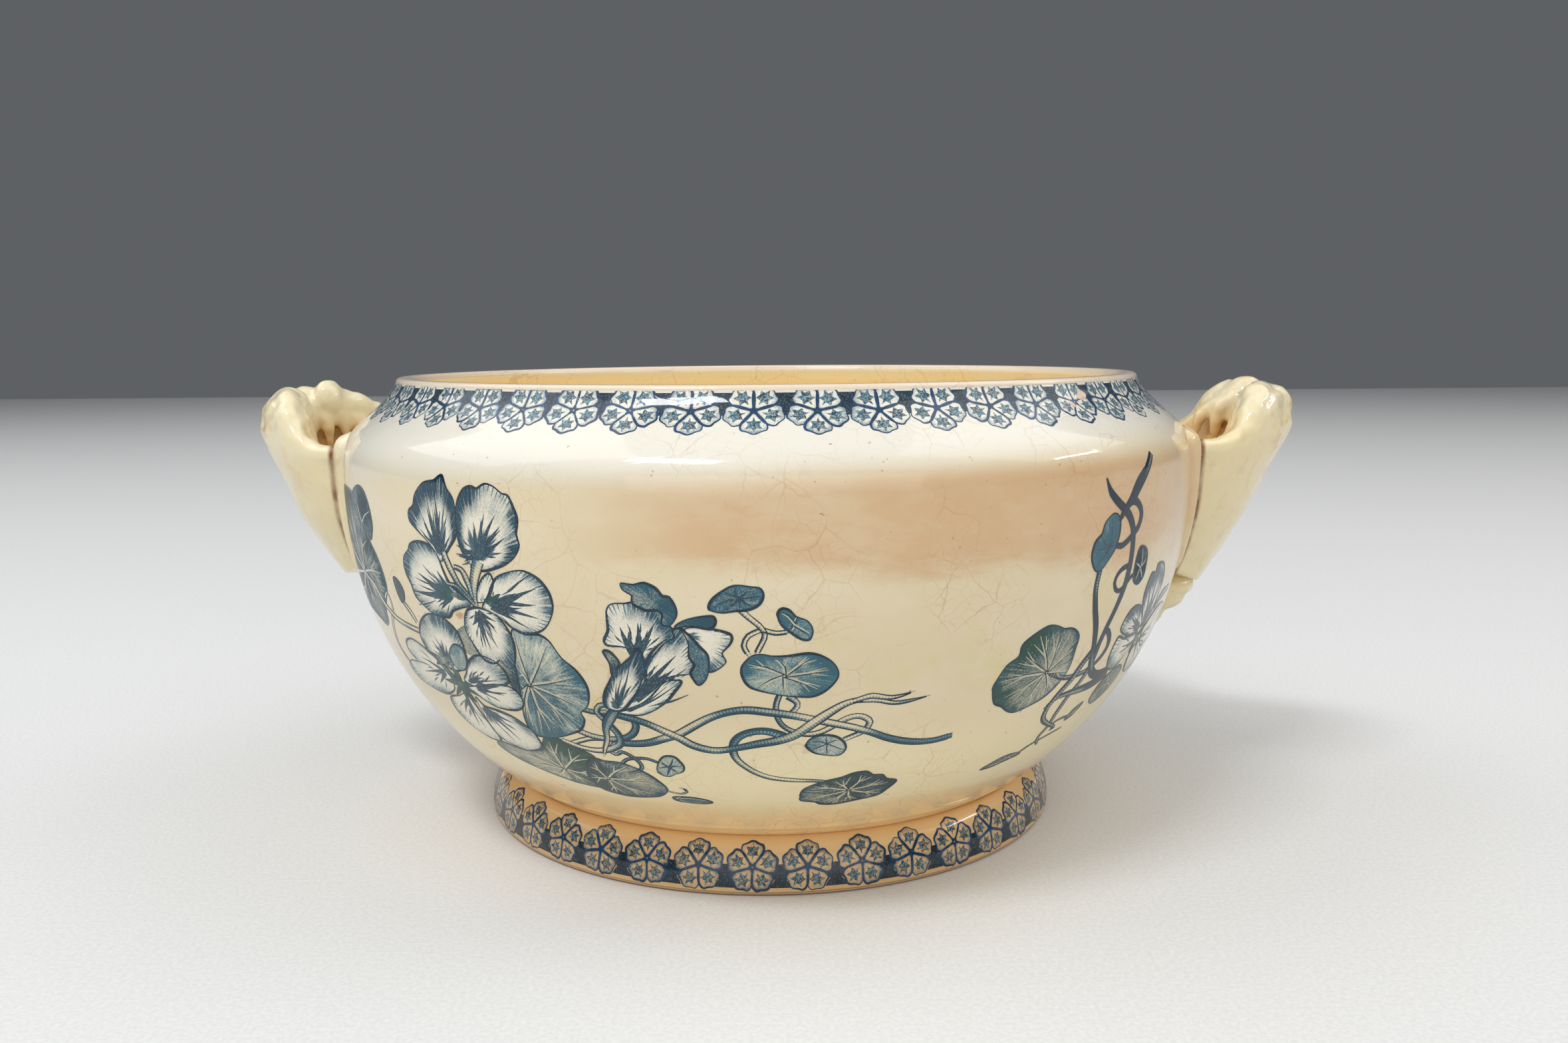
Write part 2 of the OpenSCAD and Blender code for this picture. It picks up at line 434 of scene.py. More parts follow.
def fold_stains_and_shade(g, colour):
    """Amber in the handle's hollows, partly pooled glaze and partly painted shade in the finger pocket; rust
    on its apex and a broken dark line at its joint.
    """
    blotch = g.noise(70, 3).step(0.25, 0.6, 0.4, 1.0)
    # Amber deep in the finger pocket: pooled glaze and painted shade in the recess.
    colour = g.mix((g.attribute("hollow") * blotch).clamped(), colour, AMBER)
    x = g.axes()[0]
    rust = g.noise(110, 5, 0.65).step(0.53, 0.64) * abs(x).step(0.146, 0.156, 0.3, 1.0)
    colour = g.mix(rust * 0.7, colour, PEACH)
    broken = g.noise(130, 3).step(0.3, 0.6, 0.5, 1.0)
    return g.mix(g.attribute("joint") * broken, colour, BROWN)


def glaze_material(name, inside=False, pale=0.0, tint=None, extra=None):
    g = Graph(name)
    colour, height = glaze_colour(g, g.attribute("inside") if inside else None, pale)
    if tint:
        colour = g.mix(tint[0], colour, tint[1])
    if extra:
        colour = extra(g, colour)
    return g.finish(colour, height)


def print_material(name, amount, light, dark, white=0.0, foot=False, coat=0.72):
    """Print under the glaze. amount gives how much ink lies at each place, and how dark it is."""
    g = Graph(name)
    base, height = glaze_colour(g)
    if white:
        base = g.mix(white, base, MILK)
    # On the foot the print's ground takes the foot's stain, painted shade and painted bounce light.
    if foot:
        base = foot_stain_and_shade(g, base)
    cover, depth = amount(g, g.noise(2600.0, 2, 0.5))
    return g.finish(g.mix(cover, base, g.mix(depth, light, dark)), height, coat=coat)


def print_uv(g):
    """The print's own coordinates: u across or round, v along or out."""
    return g.axes(g.add("ShaderNodeUVMap", uv_map="print").outputs[0])[:2]


def streaks(g, u, v, across, along):
    """Noise drawn out along v."""
    x, _, z = g.axes()
    vector = g.add("ShaderNodeCombineXYZ", {0: u * across, 1: v * along, 2: (x + z) * 40.0}).outputs[0]
    node = g.add("ShaderNodeTexNoise", {"Vector": vector, "Scale": 1.0, "Detail": 2.0})
    return Value(g, node.outputs["Fac"])


def stipple(density, dots, spread):
    """Turns a density into engraver's dots."""
    return (density + (dots - 0.5) * (spread * 2.2)).clamped()


def solid_ink(cover, patches, depth):
    """Nearly solid ink, a little broken by dots, with darker patches."""
    def amount(g, dots):
        return dots.step(*cover), g.noise(*patches).step(*depth)
    return amount


def leaf_ink(tone):
    def amount(g, dots):
        u, v = print_uv(g)
        shade = g.noise(52, 3, 0.6)
        hatch = streaks(g, u, v, 38.0, 2.0)
        body = shade.step(0.36, 0.62, tone - 0.30, tone + 0.26) + v.step(0.80, 1.0, 0.0, 0.25)
        body = body + (hatch - 0.5) * 1.1
        return stipple(body, dots, 0.55), (shade + hatch * 0.35).step(0.52, 0.80)
    return amount


def petal_ink(shade, flame):
    def amount(g, dots):
        u, v = print_uv(g)
        lobes = g.noise(75, 2, 0.5)
        edge = v.step(0.46, 0.98) * lobes.step(0.35, 0.58, 0.20, 1.15)
        edge = edge ** 1.15 * shade * streaks(g, u, v, 34.0, 1.2).step(0.3, 0.62, 0.55, 1.25)
        heart = streaks(g, u, v, 5.0, 0.7) * 1.1 + (flame - 0.62) - v * 1.25
        heart = heart.step(-0.05, 0.13)
        cover = g.math("MAXIMUM", stipple(edge, dots, 0.42), heart * 0.95)
        return cover, (heart * 0.45 + edge.step(0.55, 1.0, 0.0, 0.9)).clamped()
    return amount


def stem_ink(weight):
    def amount(g, dots):
        u, v = print_uv(g)
        edge = abs(u - 0.25).step(0.2, 0.8, 0.30, 1.0)
        bars = g.math("SINE", v * 8.0).step(-0.2, 0.9, 0.0, 0.30)
        body = edge + bars + g.noise(38, 2).step(0.40, 0.60, weight - 0.45, weight + 0.45)
        return stipple(body, dots, 0.35), body.step(0.7, 1.5)
    return amount


def vein_ink(g, dots):
    return dots.step(0.35, 0.7, 0.22, 0.55), 0.0


line_ink = solid_ink((0.2, 0.42, 0.84, 1.0), (120, 3), (0.3, 0.6))
flame_ink = solid_ink((0.26, 0.50, 0.78, 1.0), (160, 3), (0.36, 0.62, 0.0, 0.85))
block_ink = solid_ink((0.30, 0.5, 0.86, 1.0), (420, 3), (0.35, 0.6))
mark_ink = solid_ink((0.34, 0.56, 0.55, 1.0), (900, 2), (0.4, 0.6))
flake_and_glint_ink = solid_ink((0.2, 0.8, 0.4, 0.85), (400, 2), (0.45, 0.6))
outside_glaze = glaze_material("body_glaze", inside=True)
foot_glaze = glaze_material("foot_glaze", extra=foot_with_dark_band)
handle_glaze = glaze_material("handle_glaze", pale=0.75, tint=(0.7, IVORY), extra=fold_stains_and_shade)
# The right-hand plate's amber tint is painted shade from the groove beside the handle.
plate_glaze = {1: glaze_material("backplate_glaze_right_shaded", pale=0.2, tint=(0.45, AMBER)),
               -1: glaze_material("backplate_glaze_left", pale=0.6, tint=(0.6, IVORY))}
PRINT = {
    "ink": print_material("print_line", line_ink, INK_BLUE, INK),
    "flame": print_material("print_flame", flame_ink, INK_DARK, INK_BLUE),
    "hatch": print_material("print_hatch", flame_ink, INK_MID, INK_MID),
    "band_line": print_material("print_band_line", line_ink, INK_ROYAL, INK_NAVY),
    "mark": print_material("print_band_mark", mark_ink, INK_TEAL, INK_BLUE),
    "block": print_material("print_band_block", block_ink, INK_BLOCK, INK),
    "leaf": print_material("print_leaf", leaf_ink(0.94), INK_PALE, INK_MID, white=0.3),
    "leaf_pale": print_material("print_leaf_pale", leaf_ink(0.72), INK_PALE, INK_MID, white=0.5),
    "dark": print_material("print_leaf_dark", leaf_ink(1.05), INK_MID, INK, coat=0.12),
    "sepal": print_material("print_sepal", leaf_ink(1.00), INK_STEM, INK_DARK),
    "deep": print_material("print_leaf_deep", leaf_ink(0.92), INK_MID, INK_DEEP),
    "green": print_material("print_leaf_green", leaf_ink(0.90), INK_MID, INK_GREEN),
    "petal": print_material("print_petal", petal_ink(0.98, 0.46), INK_STEM, INK_DARK, white=0.75),
    "petal_deep": print_material("print_petal_deep", petal_ink(1.35, 0.58), INK_STEM, INK_BLUE, white=0.7),
    "petal_pale": print_material("print_petal_pale", petal_ink(0.80, 0.30), INK_PALE, INK_MID, white=0.7),
    "band": print_material("print_band_petal", petal_ink(0.62, 0.28), INK_TEAL, INK_TEAL, white=0.5),
    "foot_band": print_material("print_foot_petal", petal_ink(0.72, 0.32), INK_TEAL, INK_BLUE, foot=True),
    "foot_block": print_material("print_foot_block", block_ink, INK_BLOCK, INK, foot=True),
    "stem": print_material("print_stem", stem_ink(0.10), INK_STEM, INK_DARK),
    "stem_dark": print_material("print_stem_dark", stem_ink(0.75), INK_MID, INK),
    "vein": print_material("print_vein", vein_ink, INK_PALE, INK_PALE),
    # Small spots: flaked stains on the petals, painted reflections on the rim.
    "flake_and_glint_spot": print_material("print_flake_and_glint", flake_and_glint_ink, SPOT_ORANGE, SPOT_BROWN),
}


# ---------------------------------------------------------------- bowl and foot
SEGMENTS = 280
LIP_STEPS = 8


def bowl_piece():
    seat = belly(belly_z(HOLLOW_R), CREASE_Z, 8)
    inside_belly = belly(belly_z(70, BODY_R - WALL, BELLY_DEPTH - WALL) + 0.6, WIDEST_Z, 60, WALL)
    inner = np.concatenate([inside_belly, [[BODY_R - WALL, NECK_Z]], neck(WALL, 30)])[::-1]
    floor_r = np.linspace(66, 0.05, 12)
    floor = np.stack([floor_r, FLOOR_Z + 1.9 * (floor_r / 66) ** 4], 1)
    under_r = np.linspace(0.05, HOLLOW_R, 10)
    under = np.stack([under_r, np.full(10, HOLLOW_DEPTH)], 1)
    lip_in = RIM_R - LIP_W
    section = np.concatenate([
        under, seat, OUTSIDE[1:],
        arc((RIM_R - LIP_ROUND, RIM_Z - LIP_ROUND), LIP_ROUND, 8, 90, LIP_STEPS),
        arc((lip_in + LIP_ROUND, RIM_Z - LIP_ROUND), LIP_ROUND, 90, 176, LIP_STEPS),
        inner, floor])
    points, faces = revolve(section, SEGMENTS)
    piece = make("bowl_glazed", points, faces, outside_glaze,
                 ("base", "belly", "shoulder", "neck"))
    inside = np.zeros(len(section))
    start = len(under) + len(seat) + len(OUTSIDE) - 1 + 2 * LIP_STEPS
    inside[start:] = 1
    inside[start - 3:start + 5] = np.linspace(0, 1, 8)
    set_attribute(piece, "inside", np.tile(inside, SEGMENTS))


def foot_piece():
    under = [(q, belly_z(q)) for q in np.linspace(HOLLOW_R, CREASE_R, 6)]
    section = np.concatenate([
        under, FOOT_OUT[1:],
        arc((HOLLOW_R + 3.4, 1.2), 1.2, -90, -180, 5),
        [[HOLLOW_R + 0.9, 3.2], [HOLLOW_R, HOLLOW_DEPTH]]])
    points, faces = revolve(section, SEGMENTS)
    make("foot_glazed", points, faces, foot_glaze, ("foot",))


bowl_piece()
foot_piece()


# ---------------------------------------------------------------- handles
# How far out the apex of the straps' outer face is, and half the handle's width, by height.
APEX_Z = (65.6, 74, 87, 100, 108.5, 115, 121, 126)
APEX_X = (135.4, 141.0, 148.8, 154.8, 159.6, 162.4, 161.0, 158)
HALF_Z = (62, 72, 80, 90, 100, 110, 130)
HALF_Y = (12, 17, 22, 27, 31, 33, 33)
# Height of the straps' top edge, from the root (0) to the apex (1).
TOP_S = (0, 0.3, 0.39, 0.46, 0.54, 0.63, 0.75, 0.85, 0.93, 1)
TOP_Z = (109.6, 110.6, 112.8, 116.8, 121.5, 124.0, 124.5, 123.0, 121.0, 119.5)
ROOT_X = 114.0
PLATE_T = 3.0
PLATE_TOP = 115.5
PLATE_LOW = 70.0
PLATE_ROUND = 3.2
# The clay forms are fused on a grid this fine, then softened. They go SUNK into the bowl's wall.
VOXEL = 0.8
SOFTEN_STEPS = 8
SUNK = 2.0
# How far the left-hand handle reaches, as a share of the right-hand one.
LEFT_REACH = 0.85
# The finger pocket starts at this height and is fully open POCKET_RISE above it.
POCKET_Z = 80
POCKET_RISE = 26
APEX_THICK = 12.5
STRAP_THICK = 5.0
# The left-hand handle is drawn in beyond ROOT_END, and up below LOW_Z.
ROOT_END = 124
LOW_Z = 90


def strap_out(s, z):
    """Plan position on a strap's outer face; s is 0 at the root and 1 at the apex."""
    bend = math.radians(90 * s)
    apex = np.interp(z, APEX_Z, APEX_X)
    return (ROOT_X + (apex - ROOT_X) * math.sin(bend),
            np.interp(z, HALF_Z, HALF_Y) * max(math.cos(bend), 0) ** 1.3)


def strap_in(s, z):
    """The same on the face towards the finger pocket: the strap thickens towards the apex."""
    bend = math.radians(90 * s)
    open_ = math.sqrt(min(max((z - POCKET_Z) / POCKET_RISE, 0), 1))
    apex = np.interp(z, APEX_Z, APEX_X) - APEX_THICK - (1 - open_) * 12
    half = max(np.interp(z, HALF_Z, HALF_Y) - STRAP_THICK, 0) * open_
    y = half * max(math.cos(bend), 0) ** 1.4 - 4.0 * math.sin(bend) ** 2
    return ROOT_X + (apex - ROOT_X) * math.sin(bend), max(y, 0)


def strap_z(s, v):
    x0 = strap_out(s, 66)[0]
    low = 71.5 - 0.38 * (x0 - 118)
    return low + (np.interp(s, TOP_S, TOP_Z) - low) * v


def keep_off_inside(points):
    """Moves points that lie deep in the bowl's wall out to a little under its outside."""
    r = np.hypot(points[:, 0], points[:, 1])
    grow = np.maximum((outside_r(points[:, 2]) - SUNK) / np.maximum(r, 1), 1)
    points[:, 0] *= grow
    points[:, 1] *= grow
    return points


def strap_mesh():
    """Both straps as one closed form."""
    columns, rows = 48, 30
    turns = [1 - abs(k) / (columns / 2) for k in range(-columns // 2, columns // 2 + 1)]
    signs = [-1 if k < 0 else 1 for k in range(-columns // 2, columns // 2 + 1)]
    points, faces = [], []
    for j in range(rows + 1):
        v = j / rows
        for face in (strap_out, strap_in):
            order = range(columns + 1) if face is strap_out else range(columns, -1, -1)
            for k in order:
                s = turns[k]
                z = strap_z(s, v)
                x, y = face(s, z)
                points.append((x, signs[k] * y, z))
    ring = 2 * (columns + 1)
    for j in range(rows):
        for i in range(ring):
            a, b = j * ring + i, j * ring + (i + 1) % ring
            faces.append((a, b, b + ring, a + ring))
    for i in range(columns):
        a, b, c, d = i, i + 1, ring - 2 - i, ring - 1 - i
        faces.append((d, c, b, a))
        up = rows * ring
        faces.append((a + up, b + up, c + up, d + up))
    return np.array(points, float), faces


def ball(centre, radii, turns=20, rows=12):
    """Points and faces of an ellipsoid."""
    points = [(centre[0], centre[1], centre[2] - radii[2])]
    for j in range(1, rows):
        a = math.pi * j / rows - math.pi / 2
        for i in range(turns):
            b = 2 * math.pi * i / turns
            points.append((centre[0] + radii[0] * math.cos(a) * math.cos(b),
                           centre[1] + radii[1] * math.cos(a) * math.sin(b),
                           centre[2] + radii[2] * math.sin(a)))
    points.append((centre[0], centre[1], centre[2] + radii[2]))
    faces = []
    for i in range(turns):
        j = (i + 1) % turns
        faces.append((0, 1 + j, 1 + i))
        for k in range(rows - 2):
            a = 1 + k * turns
            faces.append((a + i, a + j, a + turns + j, a + turns + i))
        a = 1 + (rows - 2) * turns
        faces.append((a + i, a + j, len(points) - 1))
    return np.array(points), faces


def spline3(path, count=13):
    """A smooth line through points in space."""
    p = np.array(path, float)
    t = np.linspace(0, len(p) - 1, count)
    bend = np.concatenate([[2 * p[0] - p[1]], p, [2 * p[-1] - p[-2]]])
    out = []
    for k in t:
        i = min(int(k), len(p) - 2)
        out.append(between(*bend[i:i + 4], k - i))
    return np.array(out)


def tube(path, radii, sides=14):
    """A closed round tube along a path."""
    path = np.array(path, float)
    points, faces = [], []
    for i, p in enumerate(path):
        t = path[min(i + 1, len(path) - 1)] - path[max(i - 1, 0)]
        t /= np.linalg.norm(t)
        a = np.cross(t, (0, 0, 1))
        a /= np.linalg.norm(a)
        b = np.cross(t, a)
        for k in range(sides):
            w = 2 * math.pi * k / sides
            points.append(p + radii[i] * (a * math.cos(w) + b * math.sin(w)))
    n = len(path)
    for i in range(n - 1):
        for k in range(sides):
            m = (k + 1) % sides
            faces.append((i * sides + k, i * sides + m, (i + 1) * sides + m, (i + 1) * sides + k))
    faces.append(tuple(range(sides))[::-1])
    faces.append(tuple((n - 1) * sides + k for k in range(sides)))
    return np.array(points), faces


def merge(parts):
    points, faces, start = [], [], 0
    for p, f in parts:
        points.append(p)
        faces += [tuple(i + start for i in face) for face in f]
        start += len(p)
    return np.concatenate(points), faces


def knobs(co):
    """Hand-modelled unevenness, in mm: strongest along the top edge."""
    top = np.clip((co[:, 2] - 104) / 12, 0.25, 1)
    return top * [0.75 * noise.noise(Vector(p) / 6.5) + 0.3 * noise.noise(Vector(p) / 3.0) for p in co]


def clay(name, parts, side, replaces, voxel=VOXEL):
    """Fuses closed forms into one softened piece of clay, on the right (1) or left (-1) side."""
    points, faces = merge(parts)
    points = keep_off_inside(points)
    mesh = bpy.data.meshes.new(name + "_form")
    mesh.from_pydata((points * MM).tolist(), [], faces)
    form = bpy.data.objects.new(name + "_form", mesh)
    scene.collection.objects.link(form)
    remesh = form.modifiers.new("fuse", "REMESH")
    remesh.mode = "VOXEL"
    remesh.voxel_size = voxel * MM
    soften = form.modifiers.new("soften", "SMOOTH")
    soften.factor = 0.5
    soften.iterations = SOFTEN_STEPS
    depsgraph = bpy.context.evaluated_depsgraph_get()
    final = bpy.data.meshes.new_from_object(form.evaluated_get(depsgraph))
    co = np.zeros(len(final.vertices) * 3)
    final.vertices.foreach_get("co", co)
    co = co.reshape(-1, 3) / MM
    lists = [tuple(p.vertices) for p in final.polygons]
    out = np.zeros(len(co) * 3)
    final.vertices.foreach_get("normal", out)
    co += out.reshape(-1, 3) * knobs(co)[:, None]
    bpy.data.objects.remove(form)
    if side < 0:
        co[:, 0] *= -1
        lists = [f[::-1] for f in lists]
    return make(name, co, lists, handle_glaze, replaces), co


def strap_rolls():
    """The thick rolled edge along each strap's top. The two rolls stop short of each other."""
    rolls = []
    for sign in (-1, 1):
        path, radii = [], []
        for s in np.linspace(0, 0.84, 24):
            z = strap_z(s, 1)
            outer, inner = strap_out(s, z), strap_in(s, z)
            path.append(((outer[0] + inner[0]) / 2, sign * (outer[1] + inner[1] + 1.5) / 2, z - 1.2))
            radii.append(np.interp(s, (0, 0.35, 0.6, 0.84), (2.3, 3.0, 4.6, 4.2)))
        rolls.append(tube(path, radii))
    return rolls


# The two lobes at the apex: centre and radii, for the right-hand and the left-hand handle.
LOBES = {
    "right": (((153.2, -6.2, 120.6), (6.4, 5.6, 6.2)), ((150.4, 6.8, 122.2), (6.2, 5.6, 6.3))),
    "left": (((148.8, -7.0, 121.0), (7.6, 6.0, 6.6)), ((141.6, 8.2, 123.4), (6.0, 5.4, 6.2))),
}
# The left-hand handle's rear edge stands higher towards the bowl.
HIGH_EDGE = (
    (((121, 29, 114.5), (127, 24, 118), (133, 17.5, 121), (139, 10.5, 123)), (2.6, 3.0, 3.4, 4.2)),
    (((122, 28.5, 109), (127, 23.5, 112.5), (133, 17, 115.5), (139, 11, 117.5)), (3.2, 3.4, 3.6, 3.8)),
)
# Soft folds that run down into the pocket: path and radii.
FOLDS = (
    (((151, -3.2, 121.5), (146.5, -4.6, 118.6), (142, -7.0, 114), (138.5, -9.6, 108)), (2.8, 2.3, 1.9, 1.3)),
    (((150.5, 2.6, 122), (146, 4.4, 120.6), (141, 8.2, 119), (136.5, 12.6, 115)), (2.4, 3.1, 2.8, 1.4)),
    (((147.6, 2.6, 120), (146, 2.8, 115.5), (145, 2.6, 109)), (3.1, 2.4, 1.2)),
    (((142.2, 6.0, 118.5), (141, 6.0, 114), (140.4, 6.2, 108)), (2.9, 2.2, 1.0)),
    (((137.6, 10.2, 116.6), (136.4, 10.8, 112), (136, 11, 107)), (2.3, 1.6, 0.9)),
)
LEAF = (
    ((124.5, 0, 64.5), (9.2, 11.0, 4.6)),
    ((122.5, 0, 61.5), (8.6, 9.6, 6.0)),
    ((118.5, 0, 56.5), (6.2, 7.0, 6.2)),
    ((119.0, -6.0, 63.0), (4.6, 5.4, 5.0)),
    ((119.0, 6.0, 63.0), (4.6, 5.4, 5.0)),
)


def shorten(parts, reach):
    """Draws everything beyond the root in towards the bowl, and the lower part up, by one share."""
    out = []
    for points, faces in parts:
        points = np.array(points, float)
        beyond = np.maximum(points[:, 0] - ROOT_END, 0)
        points[:, 0] -= beyond * (1 - reach)
        points[:, 2] += np.maximum(LOW_Z - points[:, 2], 0) * (1 - reach) * 1.2
        out.append((points, faces))
    return out


def pocket_depth(co, reach):
    """How deep a point lies in the finger pocket, from 0 to 1."""
    x = np.abs(co[:, 0])
    x = np.where(x > ROOT_END, ROOT_END + (x - ROOT_END) / reach, x)
    apex = np.interp(co[:, 2], APEX_Z, APEX_X) - 5
    share = np.clip((x - ROOT_X) / (apex - ROOT_X), 0, 1)
    middle = (np.interp(co[:, 2], HALF_Z, HALF_Y) - 2.8) * np.sqrt(1 - share ** 2) ** 1.55
    within = np.clip((middle - np.abs(co[:, 1])) / 2, 0, 1)
    return within * np.clip((121 - co[:, 2]) / 9, 0, 1)


def handle(side, word):
    nodes = [f"{word}_{n}" for n in ("front_strap", "back_strap", "leaf", "backplate")]
    reach = 1.0 if side > 0 else LEFT_REACH
    parts = [strap_mesh()] + strap_rolls() + [ball(c, r) for c, r in LOBES[word]]
    for path, radii in FOLDS + (HIGH_EDGE if side < 0 else ()):
        swell = np.interp(np.linspace(0, 1, 13), np.linspace(0, 1, len(radii)), radii)
        parts.append(tube(spline3(path), swell))
    straps, co = clay(f"{word}_handle_straps", shorten(parts, reach), side, nodes[:2])
    off = np.hypot(co[:, 0], co[:, 1]) - outside_r(co[:, 2]) - PLATE_T
    set_attribute(straps, "joint", np.clip(1.3 - np.abs(off - 0.3) / 0.9, 0, 1))
    set_attribute(straps, "hollow", pocket_depth(co, reach))
    leaf, co = clay(f"{word}_handle_leaf", shorten([ball(c, r) for c, r in LEAF], reach ** 2), side,
                    nodes[2:3], voxel=0.7)
    set_attribute(leaf, "joint", np.zeros(len(co)))
    set_attribute(leaf, "hollow", np.zeros(len(co)))
    backplate(side, word, nodes[3])


def backplate(side, word, node):
    """The flat moulding behind the handle: a low pad with rounded edges."""
    across, up = 40, 40
    high = PLATE_TOP - PLATE_LOW
    widening = 18 if side > 0 else 14
    points, faces = [], []
    for front in (True, False):
        for j in range(up + 1):
            z = PLATE_LOW + high * j / up
            half = 21 + widening * (j / up) ** 0.9
            corner = min(j, up - j) / up * high
            half -= 5.0 * max(1 - corner / 6, 0) ** 2
            for i in range(across + 1):
                u = 2 * i / across - 1
                y = half * u
                edge = min((1 - abs(u)) * half, corner)
                rise = PLATE_T * math.sqrt(max(1 - max(1 - edge / PLATE_ROUND, 0) ** 2, 0))
                r = float(outside_r(np.array(z))) + (rise if front else -SUNK)
                points.append((side * math.sqrt(r * r - y * y), y, z))
    n = across + 1
    size = n * (up + 1)
    for j in range(up):
        for i in range(across):
            a = j * n + i
            faces.append((a, a + 1, a + n + 1, a + n))
            faces.append((a + size + n, a + size + n + 1, a + size + 1, a + size))
    rim = (list(range(across)) + [j * n + across for j in range(up)]
           + [up * n + i for i in range(across, 0, -1)] + [j * n for j in range(up, 0, -1)])
    for k, a in enumerate(rim):
        b = rim[(k + 1) % len(rim)]
        faces.append((b, a, a + size, b + size))
    if side < 0:
        faces = [f[::-1] for f in faces]
    make(f"{word}_handle_backplate", points, faces, plate_glaze[side], (node,))


handle(1, "right")
handle(-1, "left")


# ---------------------------------------------------------------- print: drawing on the surface
# The print is this thick, in mm. It stands GROUND off the glaze, and STEP more for every level.
THICKNESS = 0.12
GROUND = 0.030
STEP = 0.016
# How far the lines stand above the shape they are on.
OUTLINE_UP = 0.006
VEIN_UP = 0.010
VEIN_LINE_UP = 0.004
FLAME_UP = 0.009
# The bands' own lifts off the glaze, and that of the small spots: flaked stains and painted reflections.
BLOCK_LIFT = 0.022
FLORET_LIFT = 0.036
FLORET_LINE_LIFT = 0.050
FLORET_CROSS_LIFT = 0.056
MARK_LIFT = 0.058
SPOT_LIFT = 0.075
# The shortest and longest stroke of a petal's hatching, and how far from the hub it may start.
HATCH_REACH = (1.2, 3.4)
HATCH_FROM = 0.42


def spline(path, closed, sheet, spacing):
    """A smooth line through points (turn, climb), sampled about every spacing mm."""
    p = np.array(path, float)
    k = float(sheet.per_degree(p[:, 1].mean()))
    if closed:
        p = np.concatenate([p[-1:], p, p[:2]])
    else:
        p = np.concatenate([[2 * p[0] - p[1]], p, [2 * p[-1] - p[-2]]])
    out = []
    for i in range(1, len(p) - 2):
        a, b, c, d = p[i - 1:i + 3]
        length = math.hypot((c[0] - b[0]) * k, c[1] - b[1])
        steps = max(int(length / spacing), 2)
        for t in np.arange(steps) / steps:
            out.append(between(a, b, c, d, t))
    if not closed:
        out.append(p[-2])
    return np.array(out)


def half_widths(width, taper, count):
    """Half a stroke's width at each of its points. taper is the share narrowed at each end."""
    t = np.linspace(0, 1, count)
    widths = np.atleast_1d(width)
    half = np.interp(t, np.linspace(0, 1, len(widths)), widths) / 2
    if taper[0]:
        half = half * np.clip(t / taper[0], 0.1, 1)
    if taper[1]:
        half = half * np.clip((1 - t) / taper[1], 0.1, 1)
    return half


